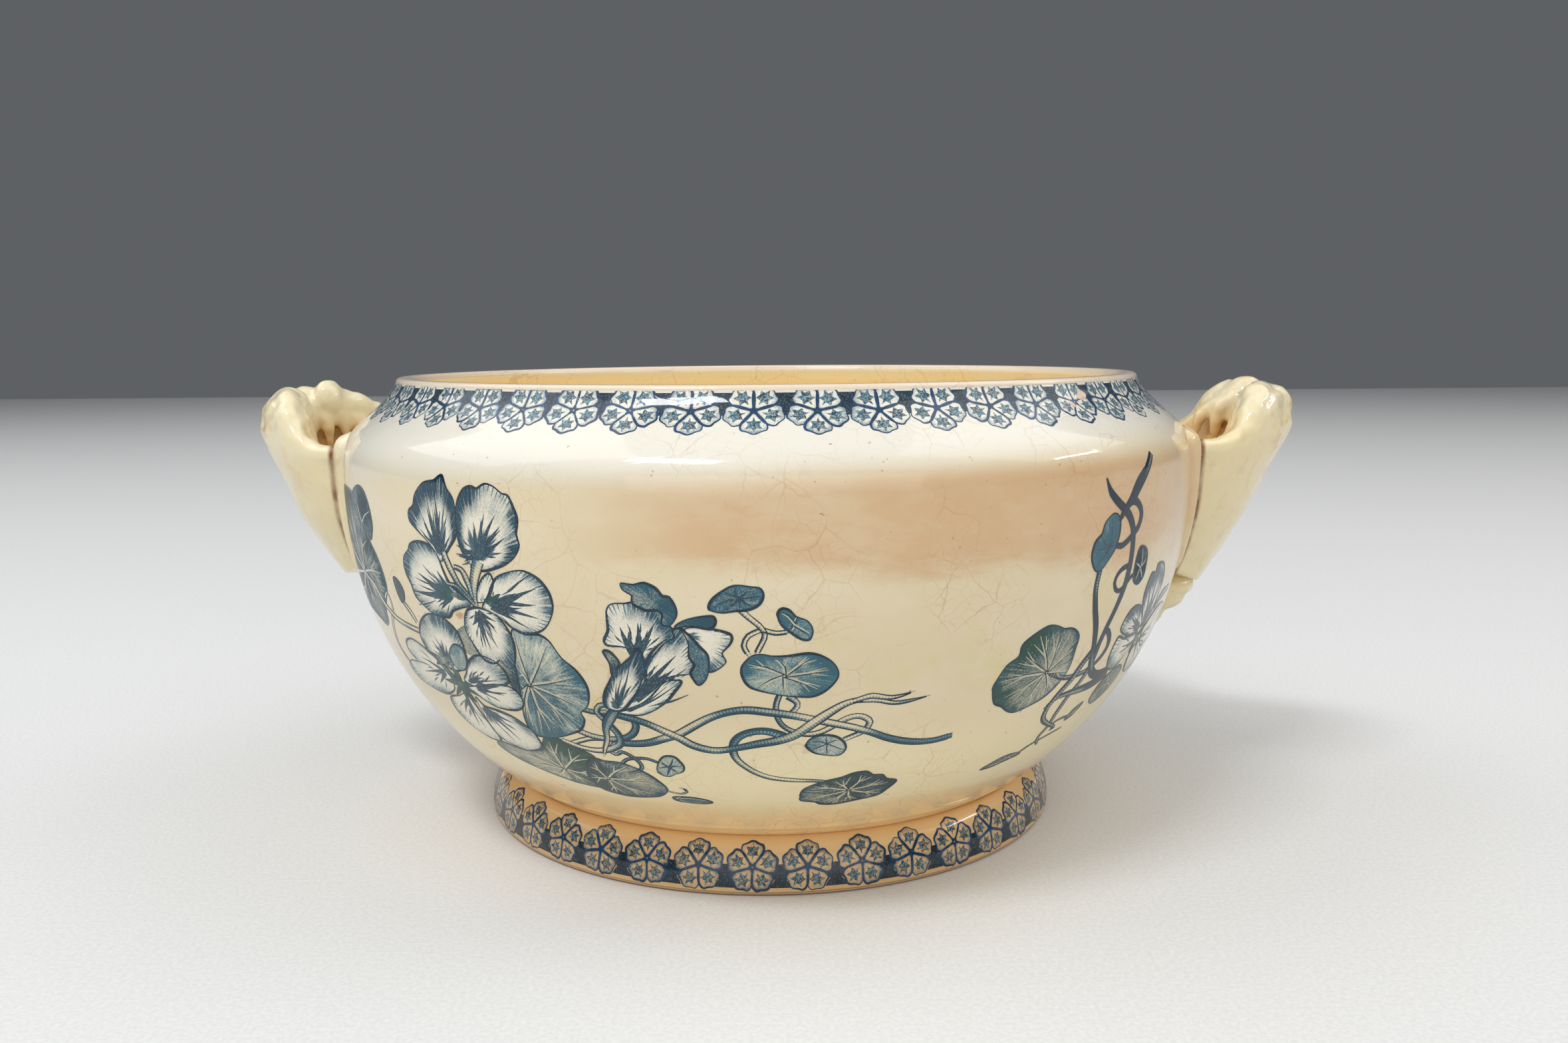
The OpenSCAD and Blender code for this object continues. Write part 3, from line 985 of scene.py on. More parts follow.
class Print:
    """Collects flat shapes drawn on a surface, then makes them one thin closed piece."""

    def __init__(self, surface=profile_at, turn0=0.0, sag=0.0):
        self.surface = surface
        self.turn0 = turn0
        self.sag = sag
        self.points, self.lifts, self.uvs, self.faces = [], [], [], []
        self.count = 0

    def per_degree(self, climb):
        """How many mm one degree of turn is at a climb."""
        return self.surface(np.asarray(climb, float))[0] * math.pi / 180

    def grid(self, points, uvs, shape, lift, closed=False):
        """A sheet of rows by columns of points (turn, climb)."""
        rows, columns = shape
        base = self.count
        self.points.append(np.asarray(points, float).reshape(-1, 2))
        self.uvs.append(np.asarray(uvs, float).reshape(-1, 2))
        self.lifts.append(np.full(rows * columns, lift))
        last = columns if closed else columns - 1
        for j in range(rows - 1):
            for i in range(last):
                m = (i + 1) % columns
                self.faces.append((base + j * columns + i, base + j * columns + m,
                                   base + (j + 1) * columns + m, base + (j + 1) * columns + i))
        self.count += rows * columns

    def sides(self, line, closed):
        """The line's two sideways directions as (turn, climb) per mm."""
        scale = self.per_degree(line[:, 1])
        mm = np.stack([line[:, 0] * scale.mean(), line[:, 1]], 1)
        if closed:
            tangent = np.roll(mm, -1, 0) - np.roll(mm, 1, 0)
        else:
            tangent = np.gradient(mm, axis=0)
        tangent /= np.maximum(np.linalg.norm(tangent, axis=1), 1e-9)[:, None]
        along = np.concatenate([[0], np.cumsum(np.hypot(*np.diff(mm, axis=0).T))])
        return np.stack([-tangent[:, 1] / scale, tangent[:, 0]], 1), along

    def stroke(self, path, width, lift, taper=(0.0, 0.0), closed=False, spacing=1.2, wave=0.0,
               across=2, shift=0.0):
        """A ribbon along points (turn, climb). width is in mm, one value or several along the path.
        shift moves it sideways by that many half-widths."""
        line = spline(path, closed, self, spacing)
        n = len(line)
        side, along = self.sides(line, closed)
        half = half_widths(width, taper, n)
        if wave:
            half = half * (1 + wave * np.sin(along * 0.35 + line[0, 0]))
        points, uvs = [], []
        for k in range(across):
            u = 2 * k / (across - 1) - 1
            points.append(line + side * (half * (u + shift))[:, None])
            uvs.append(np.stack([np.full(n, u), along], 1))
        self.grid(np.concatenate(points), np.concatenate(uvs), (across, n), lift, closed)

    def fan(self, hub, outline, lift, rings):
        """A filled shape: rings from a hub out to its closed outline."""
        outline = np.asarray(outline, float)
        hub = np.array(hub, float)
        n = len(outline)
        v = np.linspace(0.02, 1, rings)
        points = [hub + (outline - hub) * k for k in v]
        u = np.abs(np.linspace(-1, 1, n, endpoint=False)) * 2 - 1
        uvs = [np.stack([u, np.full(n, k)], 1) for k in v]
        self.grid(np.concatenate(points), np.concatenate(uvs), (rings, n), lift, True)

    def piece(self, name, kind):
        points = np.concatenate(self.points)
        lifts = np.concatenate(self.lifts)
        uvs = np.concatenate(self.uvs)
        turn = points[:, 0] + self.turn0
        lower = self.sag * points[:, 1] * np.clip((45 - points[:, 0]) / 57, 0, 1)
        r, z, nr, nz = self.surface(points[:, 1] - lower)
        top, normals = place(turn, r, z, nr, nz, lifts)
        low, _ = place(turn, r, z, nr, nz, lifts - THICKNESS)
        quads = np.array(self.faces)
        a, b, c, d = (top[quads[:, i]] for i in range(4))
        outward = np.einsum("ij,ij->i", np.cross(c - a, d - b), normals[quads[:, 0]]) > 0
        quads = np.where(outward[:, None], quads, quads[:, ::-1])
        n = len(points)
        faces = [tuple(int(i) for i in f) for f in quads]
        edges = {}
        for f in faces:
            edges.update(dict.fromkeys(zip(f, f[1:] + f[:1])))
        walls = [(b, a, a + n, b + n) for a, b in edges if (b, a) not in edges]
        every = faces + [tuple(i + n for i in f[::-1]) for f in faces] + walls
        piece = make(name, np.concatenate([top, low]), every, PRINT[kind])
        mesh = piece.data
        index = np.zeros(len(mesh.loops), np.int32)
        mesh.loops.foreach_get("vertex_index", index)
        layer = mesh.uv_layers.new(name="print")
        layer.data.foreach_set("uv", uvs[index % n].astype(np.float32).ravel())
        both = np.concatenate([normals, -normals])
        mesh.normals_split_custom_set(both[index].tolist())


# The transfer was laid a little lower to the left: this share of its height.
SAG = 0.015


class Spray:
    """One side's floral spray. Leaves and large petals are pieces; lines are gathered."""

    def __init__(self, word, turn0):
        self.word = word
        self.turn0 = turn0
        self.random = random.Random(SEED)
        self.shared = {}

    def sheet(self):
        return Print(turn0=self.turn0, sag=SAG)

    def gathered(self, name):
        """A sheet that many shapes share."""
        if name not in self.shared:
            self.shared[name] = self.sheet()
        return self.shared[name]

    def shape(self, name, hub, outline, kind, level, rings=8, line=0.5):
        """A filled, outlined shape. The outline is given as listed points."""
        sheet = self.sheet()
        lift = GROUND + STEP * level
        edge = spline(outline, True, sheet, 1.0)
        sheet.fan(hub, edge, lift, rings)
        sheet.piece(f"{self.word}_{name}", kind)
        if line:
            self.gathered("outlines").stroke(edge, line, lift + OUTLINE_UP, closed=True, spacing=1.1,
                                             wave=0.45)
        return edge

    def leaf(self, name, hub, outline, kind, level, veins, vein, dark=False):
        """A leaf with pale veins out from its hub, forked if they are wide, or plain dark ones."""
        edge = self.shape(name, hub, outline, kind, level)
        lift = GROUND + STEP * level + VEIN_UP
        hub = np.array(hub, float)
        count = len(edge)
        for i in range(veins):
            index = int(count * ((i + 0.3 + self.random.uniform(-0.1, 0.1)) / veins)) % count
            end = hub + (edge[index] - hub) * self.random.uniform(0.78, 0.92)
            bend = np.array([self.random.uniform(-0.3, 0.3), self.random.uniform(-0.6, 0.6)])
            middle = (hub + end) / 2 + bend
            self.gathered("flames" if dark else "leaf_veins").stroke(
                [hub, middle, end], (vein, vein * 0.8, 0.15), lift)
            if dark:
                continue
            self.gathered("outlines").stroke([hub, middle, end], (0.3, 0.3, 0.1), lift + VEIN_LINE_UP,
                                             shift=-2.4)
            if vein >= 0.6:
                for turn in (-1, 1):
                    out = edge[(index + turn * count // 26) % count]
                    tip = middle + (out - middle) * 0.7
                    self.gathered("leaf_veins").stroke([middle, (middle + tip) / 2 + bend * 0.2, tip],
                                                       (vein * 0.7, 0.1), lift)

    def hatch(self, hub, edge, lift):
        """Fine strokes in from the far edge of a petal."""
        sheet = self.gathered("hatching")
        k = float(sheet.per_degree(edge[:, 1].mean()))
        away = np.hypot((edge[:, 0] - hub[0]) * k, edge[:, 1] - hub[1])
        for point, far in zip(edge, away):
            if far < HATCH_FROM * away.max() or self.random.random() < 0.12:
                continue
            length = self.random.uniform(*HATCH_REACH) * min(far / away.max() + 0.1, 1)
            tip = point + (hub - point) * min(length / far, 0.6)
            sheet.stroke([point, tip], (0.28, 0.22, 0.05), lift, spacing=1.4)

    def petal(self, name, hub, outline, flames, kind, level, width=2.2, line=0.55):
        """A petal with dark tongues that run from its hub to the given tips."""
        edge = self.shape(name, hub, outline, kind, level, rings=10, line=line)
        lift = GROUND + STEP * level + FLAME_UP
        hub = np.array(hub, float)
        self.hatch(hub, edge, lift - 0.003)
        k = float(self.gathered("flames").per_degree(hub[1]))
        for tip in flames:
            tip = np.array(tip, float)
            bend = np.array([self.random.uniform(-0.25, 0.25), self.random.uniform(-0.5, 0.5)])
            w = width * self.random.uniform(0.8, 1.15)
            middle = hub + (tip - hub) * 0.5 + bend
            self.gathered("flames").stroke([hub, middle, tip],
                                           (w, w * 0.85, w * 0.5, w * 0.3, 0.12), lift, spacing=0.9)
            run = np.array([(tip[0] - hub[0]) * k, tip[1] - hub[1]])
            length = np.hypot(*run)
            for turn in (-1, 1):
                gap = turn * (0.55 + 0.12 * length) / length
                aside = np.array([-run[1] * gap / k, run[0] * gap])
                start = hub + (tip - hub) * self.random.uniform(0.35, 0.5) + aside * 0.8
                end = hub + (tip - hub) * self.random.uniform(0.75, 1.0) + aside * 1.5
                self.gathered("flames").stroke([start, (start + end) / 2 + bend * 0.5, end],
                                               (0.1, 0.5, 0.1), lift, spacing=0.9)

    def vine(self, group, path, width, level=1, taper=(0.0, 0.0)):
        """A stem shaded towards its edges, with a dark line down each side."""
        lift = GROUND + STEP * level
        sheet = self.gathered(group)
        sheet.stroke(path, width, lift, taper=taper, spacing=0.9, across=5)
        edges = self.gathered("outlines")
        for side, weight in ((-1, 0.36), (1, 0.24)):
            line = spline(path, False, sheet, 1.0)
            across = sheet.sides(line, False)[0]
            half = half_widths(width, taper, len(line))
            edges.stroke((line + across * (half * side)[:, None])[::2], weight, lift + OUTLINE_UP,
                         spacing=1.6, wave=0.3)

    def star(self, centre, tips, width, kind, level):
        """Pointed strokes out from a flower's heart."""
        sheet = self.gathered(kind)
        for tip in tips:
            sheet.stroke([centre, ((centre[0] + tip[0]) / 2, (centre[1] + tip[1]) / 2), tip],
                         (width * 0.7, width, width * 0.8, 0.15), GROUND + STEP * level, across=3)

    def finish(self):
        kinds = {"outlines": "ink", "flames": "flame", "hatching": "hatch", "leaf_veins": "vein",
                 "hearts": "green", "vines_right": "stem_dark"}
        for name, sheet in self.shared.items():
            sheet.piece(f"{self.word}_spray_{name}", kinds.get(name, "stem"))


def flower_high(s):
    """The open flower high on the left, turned to the viewer."""
    s.shape("ground_between_flowers", (-33.5, 68), [
        (-38.2, 72.5), (-36.5, 75.5), (-34.5, 76), (-31, 72), (-28.5, 66), (-29, 60), (-30, 57),
        (-31.2, 61), (-32.5, 66), (-36, 67.5), (-38, 69)], "deep", 0, line=0)
    s.petal("flower_high_top_left", (-37.8, 94.5), [
        (-39.6, 96), (-41.5, 98.8), (-43, 101.2), (-43, 103.6), (-42.2, 104.8), (-41.6, 108),
        (-40, 110.8), (-38, 111.6), (-36.8, 113), (-36, 110), (-35, 107.5), (-34.7, 103), (-34.9, 99),
        (-36, 96), (-36.8, 94), (-38, 92)],
        [(-38, 108), (-37.2, 104.6), (-36.4, 100.8), (-40.2, 101), (-40, 97.4), (-39.5, 105), (-36.3, 97)],
        "petal_deep", 3)
    s.petal("flower_high_top_right", (-31.6, 94.6), [
        (-34.6, 99), (-34.7, 104), (-34.3, 107.5), (-33.3, 110.2), (-32.2, 110.9), (-31.4, 110.5),
        (-30.3, 111.8), (-29, 111.2), (-28, 109.8), (-27.2, 109.4), (-26.6, 107), (-26.1, 104),
        (-26.3, 100.5), (-26, 98), (-26.6, 95.5), (-27.8, 93.5), (-29.5, 92), (-31.5, 91), (-33, 92.2),
        (-34.2, 95.5)],
        [(-32.1, 101), (-30.9, 103.4), (-29, 104.6), (-28.4, 102), (-28.2, 98.8), (-29.4, 96.4),
         (-34.7, 94), (-34.9, 96.6), (-33.9, 92.8)], "petal_deep", 3)
    s.petal("flower_high_left", (-37, 83.8), [
        (-38.5, 94), (-40, 95.8), (-42, 96), (-43.5, 95), (-44, 93.5), (-45.2, 91.5), (-45.5, 89),
        (-45.2, 86.5), (-44.6, 84.5), (-44.2, 81.5), (-43, 79.5), (-41.5, 77.8), (-40, 77.4),
        (-38.2, 77.6), (-37.4, 79.3), (-36, 80.5), (-34, 82), (-35.5, 84.5), (-37, 87), (-37.8, 90.5)],
        [(-42.6, 88), (-41, 85.6), (-44.2, 82.8), (-40.4, 81.8), (-39.4, 79.2), (-38.8, 89.5)],
        "petal", 4, 2.6)
    s.petal("flower_high_right", (-30.8, 82.6), [
        (-32.2, 81.9), (-31, 85), (-29.8, 89), (-28.5, 90.8), (-26.5, 92), (-25.2, 91.7), (-23.8, 90),
        (-22.8, 87), (-22.6, 83.5), (-23.3, 80), (-24.5, 77.5), (-26.5, 76.3), (-28.3, 77.3),
        (-30, 79.8), (-31.5, 81)],
        [(-24.4, 88), (-26, 86.3), (-24.6, 80.6), (-27.3, 79.2), (-27.4, 82.4), (-29.2, 85.8),
         (-26.2, 84)], "petal", 4, 2.3)
    s.petal("flower_high_low", (-33, 80.2), [
        (-34.8, 80.3), (-35.6, 77.5), (-35.8, 74.5), (-35.2, 71.5), (-34.4, 68), (-33.5, 66.7),
        (-32.3, 66.8), (-31.5, 67.8), (-30.6, 66), (-29.7, 66.4), (-28.9, 70), (-28.7, 74),
        (-29.3, 77.5), (-30.3, 80), (-31.8, 81.2), (-33.3, 81.4)],
        [(-34.4, 76.6), (-33.1, 71), (-31.6, 74.2), (-32.4, 70.4), (-30.6, 78.5)], "petal", 5, 1.9)
    s.petal("flower_high_sepal_right", (-32.2, 83.4), [
        (-32.8, 83), (-32.5, 86), (-31.6, 89), (-30.4, 90.6), (-30, 88.5), (-30.4, 86), (-31.3, 83.8)],
        (), "petal_pale", 4, line=0.4)
    s.vine("flower_stalks", [(-37.2, 94.5), (-36.6, 91.5), (-35.4, 87), (-34.2, 84.5), (-33.4, 82)],
           (1.7, 1.9, 1.5, 1.0), 5)
    s.vine("flower_stalks", [(-31.8, 93.4), (-32.6, 89.5), (-33.1, 86), (-33.2, 82)], (3.4, 2.4, 1.7), 4)
    s.vine("flower_stalks", [(-35.7, 91.2), (-34.6, 90.6), (-33.9, 87.8), (-33.5, 84)], (0.9, 1.8, 1.1), 5)
    s.vine("flower_stalks", [(-37.2, 86.5), (-35.8, 86.2), (-34.6, 84.2), (-33.3, 82)], (0.7, 1.3, 0.9), 6)
    s.star((-36.4, 84), [(-39.2, 86), (-34.6, 83), (-39.8, 82.6), (-38, 85.8)], 1.7, "hearts", 6)
    s.star((-31, 83), [(-29.4, 85.8), (-31.8, 84), (-30.6, 85.6)], 1.3, "hearts", 6)


def flower_low(s):
    """The open flower low on the left."""
    s.petal("flower_low_far_left", (-43.5, 60), [
        (-43, 62), (-46, 66), (-49, 67.6), (-51.3, 66), (-51.8, 62.8), (-50.6, 60.4), (-53, 59.4),
        (-54.6, 57), (-54, 54), (-51, 52), (-47, 51.6), (-44.5, 53), (-42.8, 56)],
        [(-48.5, 62.5), (-49.5, 57.5), (-46.5, 55)], "petal_pale", 2, 1.6)
    s.petal("flower_low_top", (-41.4, 63.5), [
        (-45.6, 66), (-46, 70), (-44.8, 74), (-42.6, 77), (-40, 77.2), (-38, 74.8), (-37.2, 71),
        (-37.5, 66), (-39, 62.6), (-41, 61.6), (-43.4, 63)],
        [(-42.6, 71), (-43.4, 67.8), (-40.6, 69.2)], "petal", 4, 1.5)
    s.shape("flower_low_sepal", (-39.4, 63.4), [
        (-40.6, 64), (-40.3, 67.5), (-38.8, 70), (-37.5, 69.2), (-37.4, 66), (-38.3, 63),
        (-39.6, 62.2)], "leaf", 5)
    s.petal("flower_low_right", (-38.6, 59), [
        (-39.6, 59), (-38.4, 62), (-37.3, 65.3), (-35.2, 68), (-33, 67.7), (-31.6, 65.6), (-31.2, 62.6),
        (-32, 60.6), (-35, 59.4), (-37.5, 57.8)], [(-35.5, 61.4), (-33.2, 61.4)], "petal", 5, 1.3)
    s.petal("flower_low_right_front", (-37.6, 57.4), [
        (-39.5, 57), (-36.5, 58.6), (-33.5, 60), (-31.3, 60), (-30.2, 57.5), (-30.4, 54.6), (-32, 52.7),
        (-35, 52.2), (-37, 53.5), (-38.6, 55.8)],
        [(-33, 57), (-35, 55.2), (-35.4, 61.2), (-32.4, 60.8)], "petal_pale", 6, 1.7)
    s.petal("flower_low_low_right", (-38.4, 50.6), [
        (-39, 54), (-38, 51.5), (-35.5, 50.9), (-33, 49.5), (-31.2, 46.5), (-30.7, 43.5),
        (-30.8, 40.5), (-32, 38.5), (-34.5, 37.2), (-36.5, 38), (-38.5, 39.6), (-39.2, 43), (-39.2, 48)],
        [(-34.4, 41), (-36.1, 45.6), (-33.6, 47.4), (-37.8, 45)], "petal", 5, 2.0)
    s.petal("flower_low_low_left", (-41.2, 52), [
        (-40.6, 54), (-43, 52.6), (-45.5, 51), (-46.3, 47), (-45.8, 43), (-44, 40), (-42, 38.3),
        (-39.4, 38.2), (-39.1, 42), (-39.6, 47)],
        [(-43.8, 46.5), (-42.2, 42.6), (-40.8, 45)], "petal_pale", 4, 1.7)
    s.star((-40.8, 57.2), [
        (-44.4, 57.4), (-43.4, 61), (-44.8, 65), (-41.2, 66), (-40.4, 62), (-43.4, 52.6), (-41.2, 50),
        (-39.4, 52), (-37.6, 54.6), (-38.6, 58.4)], 1.6, "hearts", 7)
    s.star((-42.6, 64), [(-45.8, 65.4), (-41, 65.2), (-44.6, 62), (-41.6, 61.8), (-42.4, 67.4)],
           1.8, "hearts", 7)


def trumpet(s):
    """The half-open trumpet flower in the middle of the front."""
    s.shape("trumpet_top", (-11.2, 86.2), [
        (-14.5, 90.6), (-13.2, 90.4), (-12, 90.9), (-10.8, 89.6), (-10.2, 87.9), (-9.5, 87.6),
        (-8.9, 85.5), (-8.8, 83.3), (-9.4, 81.2), (-10, 80.7), (-10.5, 81.3), (-10.3, 83.4),
        (-10.9, 84.5), (-12, 84.4), (-13.4, 86), (-13.4, 87.8), (-14.3, 89)], "sepal", 4, 6)
    s.petal("trumpet_left", (-13.6, 73), [
        (-14.2, 74), (-14.8, 75), (-16.8, 75.3), (-16.9, 77), (-16.4, 79), (-16.3, 84), (-15.6, 85.6),
        (-14.4, 85.8), (-12.8, 86.3), (-11.5, 85), (-10.6, 84.2), (-10.2, 82), (-9.4, 80.2),
        (-9.3, 78.5), (-10.5, 76.8), (-11.8, 74), (-12.7, 71), (-13.3, 72)],
        [(-15, 80), (-14.1, 79), (-13, 81.2), (-11.2, 81.4), (-11.7, 77.4)], "petal", 3, 2.6)
    s.petal("trumpet_right", (-7.9, 78.6), [
        (-8.2, 79.8), (-6.5, 80.5), (-5, 80), (-3.3, 78.7), (-3.4, 76.5), (-4.3, 74), (-3.9, 72),
        (-4.8, 70), (-5.9, 69.3), (-6, 73), (-7, 76)], (), "petal", 3, line=0.5)
    s.petal("trumpet_front", (-14.6, 61), [
        (-16.4, 57), (-14.4, 62), (-13, 66), (-12.6, 70), (-11.5, 73.5), (-10.3, 76.5), (-9.2, 78),
        (-9.4, 79.8), (-8.3, 80), (-7.7, 77), (-7.7, 73), (-7.4, 71), (-7.8, 68.8), (-9.5, 68),
        (-11, 66.4), (-12.6, 62), (-14.4, 58.6)],
        [(-9.2, 73.4), (-9.8, 71.8), (-9.5, 70), (-10.2, 68.8), (-12.4, 71), (-11.6, 68)], "petal", 4, 2.6)
    s.shape("trumpet_right_curl", (-7.4, 81.6), [
        (-9.1, 80.4), (-8.2, 82), (-6.6, 83), (-5, 83.1), (-4.9, 81.2), (-5.6, 80.2), (-7.4, 80.8)],
        "sepal", 5, 5)
    s.shape("trumpet_fall", (-7.3, 73), [
        (-8.5, 80), (-7.8, 77), (-7.8, 73), (-7.3, 71), (-7.8, 69), (-7.5, 67), (-7, 65.6),
        (-6.2, 67.2), (-5.8, 70), (-5.8, 73.5), (-6.7, 76), (-7.6, 78.5)], "leaf_pale", 5, 6)
    s.petal("trumpet_low", (-15.6, 57.2), [
        (-17, 56.4), (-14.6, 56), (-12.8, 57.5), (-11, 60.5), (-9.8, 63.6), (-8.9, 66.6), (-10.6, 66.4),
        (-11.9, 63.6), (-13.4, 60.2), (-15, 58.2)], [(-9, 66.4), (-10.6, 65)], "petal_pale", 5, 0.8)
    s.petal("trumpet_tube", (-17, 58), [
        (-18.3, 57.6), (-18.4, 60), (-18, 62.5), (-17.2, 65.5), (-16.5, 68), (-15.3, 70.5),
        (-14.2, 72.5), (-13.3, 74.8), (-12.8, 72), (-12.9, 69), (-13.4, 66), (-14.4, 62.2),
        (-15.7, 58.6), (-16.9, 56.9)], [(-15.6, 67), (-14.2, 72), (-16.4, 65)], "petal_deep", 6, 1.0)
    s.shape("trumpet_sepal", (-16.4, 70), [
        (-17.3, 73.5), (-16.6, 73.6), (-15.9, 72), (-15.6, 70.4), (-16.2, 68.8), (-16.8, 67.4),
        (-16.8, 70.5)], "deep", 5, 5)


def leaves(s):
    s.leaf("leaf_handle", (-60, 83), [
        (-61, 104.5), (-66, 105.4), (-70.5, 103), (-73, 96), (-73.4, 86), (-72, 76.5), (-67, 71),
        (-62, 70), (-59, 69), (-57.3, 68.2), (-55.6, 70.4), (-55, 73.4), (-53.2, 77.5), (-51.9, 81),
        (-52, 85), (-53, 89.4), (-54.6, 93), (-57, 98.6), (-59.5, 102.4)], "dark", 1, 9, 0.7)
    s.leaf("leaf_handle_lobe", (-57, 97), [
        (-60.8, 103.2), (-59.8, 105.6), (-57.4, 107.2), (-55.2, 106), (-53.6, 102.4), (-52.9, 98),
        (-53.4, 95), (-54.3, 93.4), (-56, 96.6), (-58, 100.4)], "dark", 2, 3, 0.4)
    s.leaf("leaf_large", (-28.1, 61.8), [
        (-29.5, 65), (-29.3, 70), (-28.8, 74), (-28.4, 77), (-26.5, 76.3), (-25, 76.4), (-23.8, 75),
        (-22.6, 70.8), (-21.2, 68), (-20.3, 64.4), (-20.2, 61), (-20.8, 57.5), (-22, 55),
        (-21.8, 53), (-22.8, 49.5), (-24.5, 47.5), (-26.5, 45.6), (-28.8, 44.5), (-31, 45), (-31.2, 50),
        (-30.4, 56), (-29.9, 60)], "leaf_pale", 2, 9, 0.9)
    s.leaf("leaf_low_left", (-29.4, 31.6), [
        (-41, 36), (-39.5, 38), (-37, 37.5), (-35, 37), (-32.5, 38.8), (-30.8, 40.8), (-29, 45),
        (-26.5, 44.3), (-24.5, 42), (-22.8, 40), (-22.4, 36), (-23, 30), (-24, 25.6), (-28, 25.4),
        (-31.5, 27), (-36, 29.4), (-39.5, 32.5)], "green", 1, 8, 0.8)
    s.leaf("leaf_low_right", (-22.4, 30.6), [
        (-24.6, 36), (-23, 39), (-21.5, 38.4), (-20, 38.6), (-18.5, 38.2), (-16.5, 36), (-15, 33),
        (-13.8, 28.5), (-15, 25), (-17, 23.6), (-21, 22.8), (-24.6, 24.4), (-25.6, 29)], "deep", 2, 6, 0.7)
    s.leaf("leaf_small_round", (-12.3, 38.4), [
        (-14.2, 36.5), (-13.9, 38.8), (-13.4, 40.8), (-12.6, 42.5), (-11.4, 42.6), (-10.8, 41),
        (-10.4, 39), (-10.7, 36.9), (-11.8, 35.7), (-12.7, 34.5), (-13.6, 34.8)],
        "leaf", 2, 6, 0.7, dark=True)
    s.leaf("leaf_small_low", (-13, 24), [
        (-13.4, 24.8), (-11.4, 25.2), (-9, 24.4), (-7.8, 23), (-9.2, 22), (-11.6, 22.2), (-13.2, 23)],
        "leaf", 1, 3, 0.3)
    s.leaf("leaf_middle", (2.2, 68), [
        (-1.2, 73.4), (-2.3, 70.5), (-2.2, 67.6), (-1.5, 65.2), (0, 63.8), (1.6, 62.9), (3.2, 62.3),
        (5.4, 62.2), (7, 64.2), (8, 67.4), (7.6, 70.4), (6.4, 72.6), (4.8, 73.7), (2.5, 73.2),
        (0.8, 73.3), (0, 73.7)], "leaf", 2, 7, 0.6)
    s.leaf("leaf_top_left", (-2.4, 87.4), [
        (-5.4, 84.8), (-5.2, 86.8), (-4.2, 88.8), (-2.8, 90.4), (-1, 90), (-0.2, 89.6), (0.1, 88),
        (-0.3, 86), (-1.4, 84.7), (-2.8, 84.4), (-4.2, 84)], "leaf_pale", 2, 8, 0.6, dark=True)
    s.leaf("leaf_top_right", (3.2, 81), [
        (1.5, 83.4), (1.9, 84.8), (2.7, 84.4), (3.4, 82.8), (4.5, 81.8), (5.1, 79.6), (4.8, 77.2),
        (3.9, 77.4), (2.8, 79.2), (1.9, 81)], "leaf", 2, 4, 0.4)
    s.leaf("leaf_under_vine", (7.4, 47.2), [
        (4.9, 47.6), (5.6, 49.6), (7.2, 50.2), (8.6, 49.2), (9.6, 46.8), (9.7, 44.6), (9, 42.9),
        (7.5, 43.2), (6, 44.2), (5.1, 46)], "leaf_pale", 2, 6, 0.4, dark=True)
    s.leaf("leaf_low_middle", (11.4, 28), [
        (4.7, 26), (4.9, 24), (7, 23), (7.8, 21.8), (10, 21.3), (13, 22.4), (16, 24), (17, 26.4),
        (18, 30.3), (16.4, 31.9), (15.6, 33.8), (14.2, 34.2), (13.2, 35.8), (11.4, 35.4), (10, 34),
        (8, 33), (6.4, 31.6), (5, 29.4)], "deep", 2, 8, 0.6)
    s.leaf("leaf_right_round", (35.2, 61), [
        (27.3, 59), (27.6, 62), (28.4, 65.6), (29.8, 67.6), (30, 70.6), (31.6, 73), (33.4, 74.6),
        (35, 74), (36, 73), (37.6, 72.4), (39, 70), (39.2, 66), (39.3, 61), (38.6, 57.4), (37.2, 54),
        (35.4, 51.8), (32.6, 50), (31, 50.8), (29.6, 53), (28.2, 54.6)], "green", 1, 9, 0.7)
    s.leaf("leaf_right_tall", (41.6, 92), [
        (38.6, 90.5), (39, 94), (40, 95.6), (40.6, 98.4), (42.2, 100.2), (43.3, 98.6), (43.4, 95),
        (42.8, 91.4), (41.6, 88.4), (40.4, 86.4), (39.4, 87)], "leaf", 3, 7, 0.5, dark=True)
    s.leaf("leaf_right_small", (49.4, 84.5), [
        (47.8, 85), (48, 88.4), (48.6, 90.3), (49.8, 89.8), (50.7, 88), (50.9, 84.6), (50.8, 81.8),
        (49.6, 80), (48.2, 81.4)], "dark", 2, 5, 0.4)
    s.leaf("leaf_right_tiny", (46.2, 42.6), [
        (45.2, 40.6), (45.6, 43.4), (46.6, 45.2), (47.6, 45.8), (47.4, 43.6), (46.4, 41)],
        "deep", 1, 3, 0.3)
    s.leaf("leaf_right_low", (36.4, 30.8), [
        (32.3, 28), (33.8, 30.2), (35.2, 31.8), (37, 32.4), (38.8, 31.6), (38.9, 30.6), (36.4, 29.4),
        (34, 28)], "deep", 1, 5, 0.3)
    s.leaf("leaf_left_bud", (-48.2, 81.6), [
        (-49, 84.8), (-47.7, 84), (-47, 81.6), (-47.4, 79.2), (-48.3, 78.2), (-48.9, 80.8)],
        "deep", 2, 3, 0.4, dark=True)


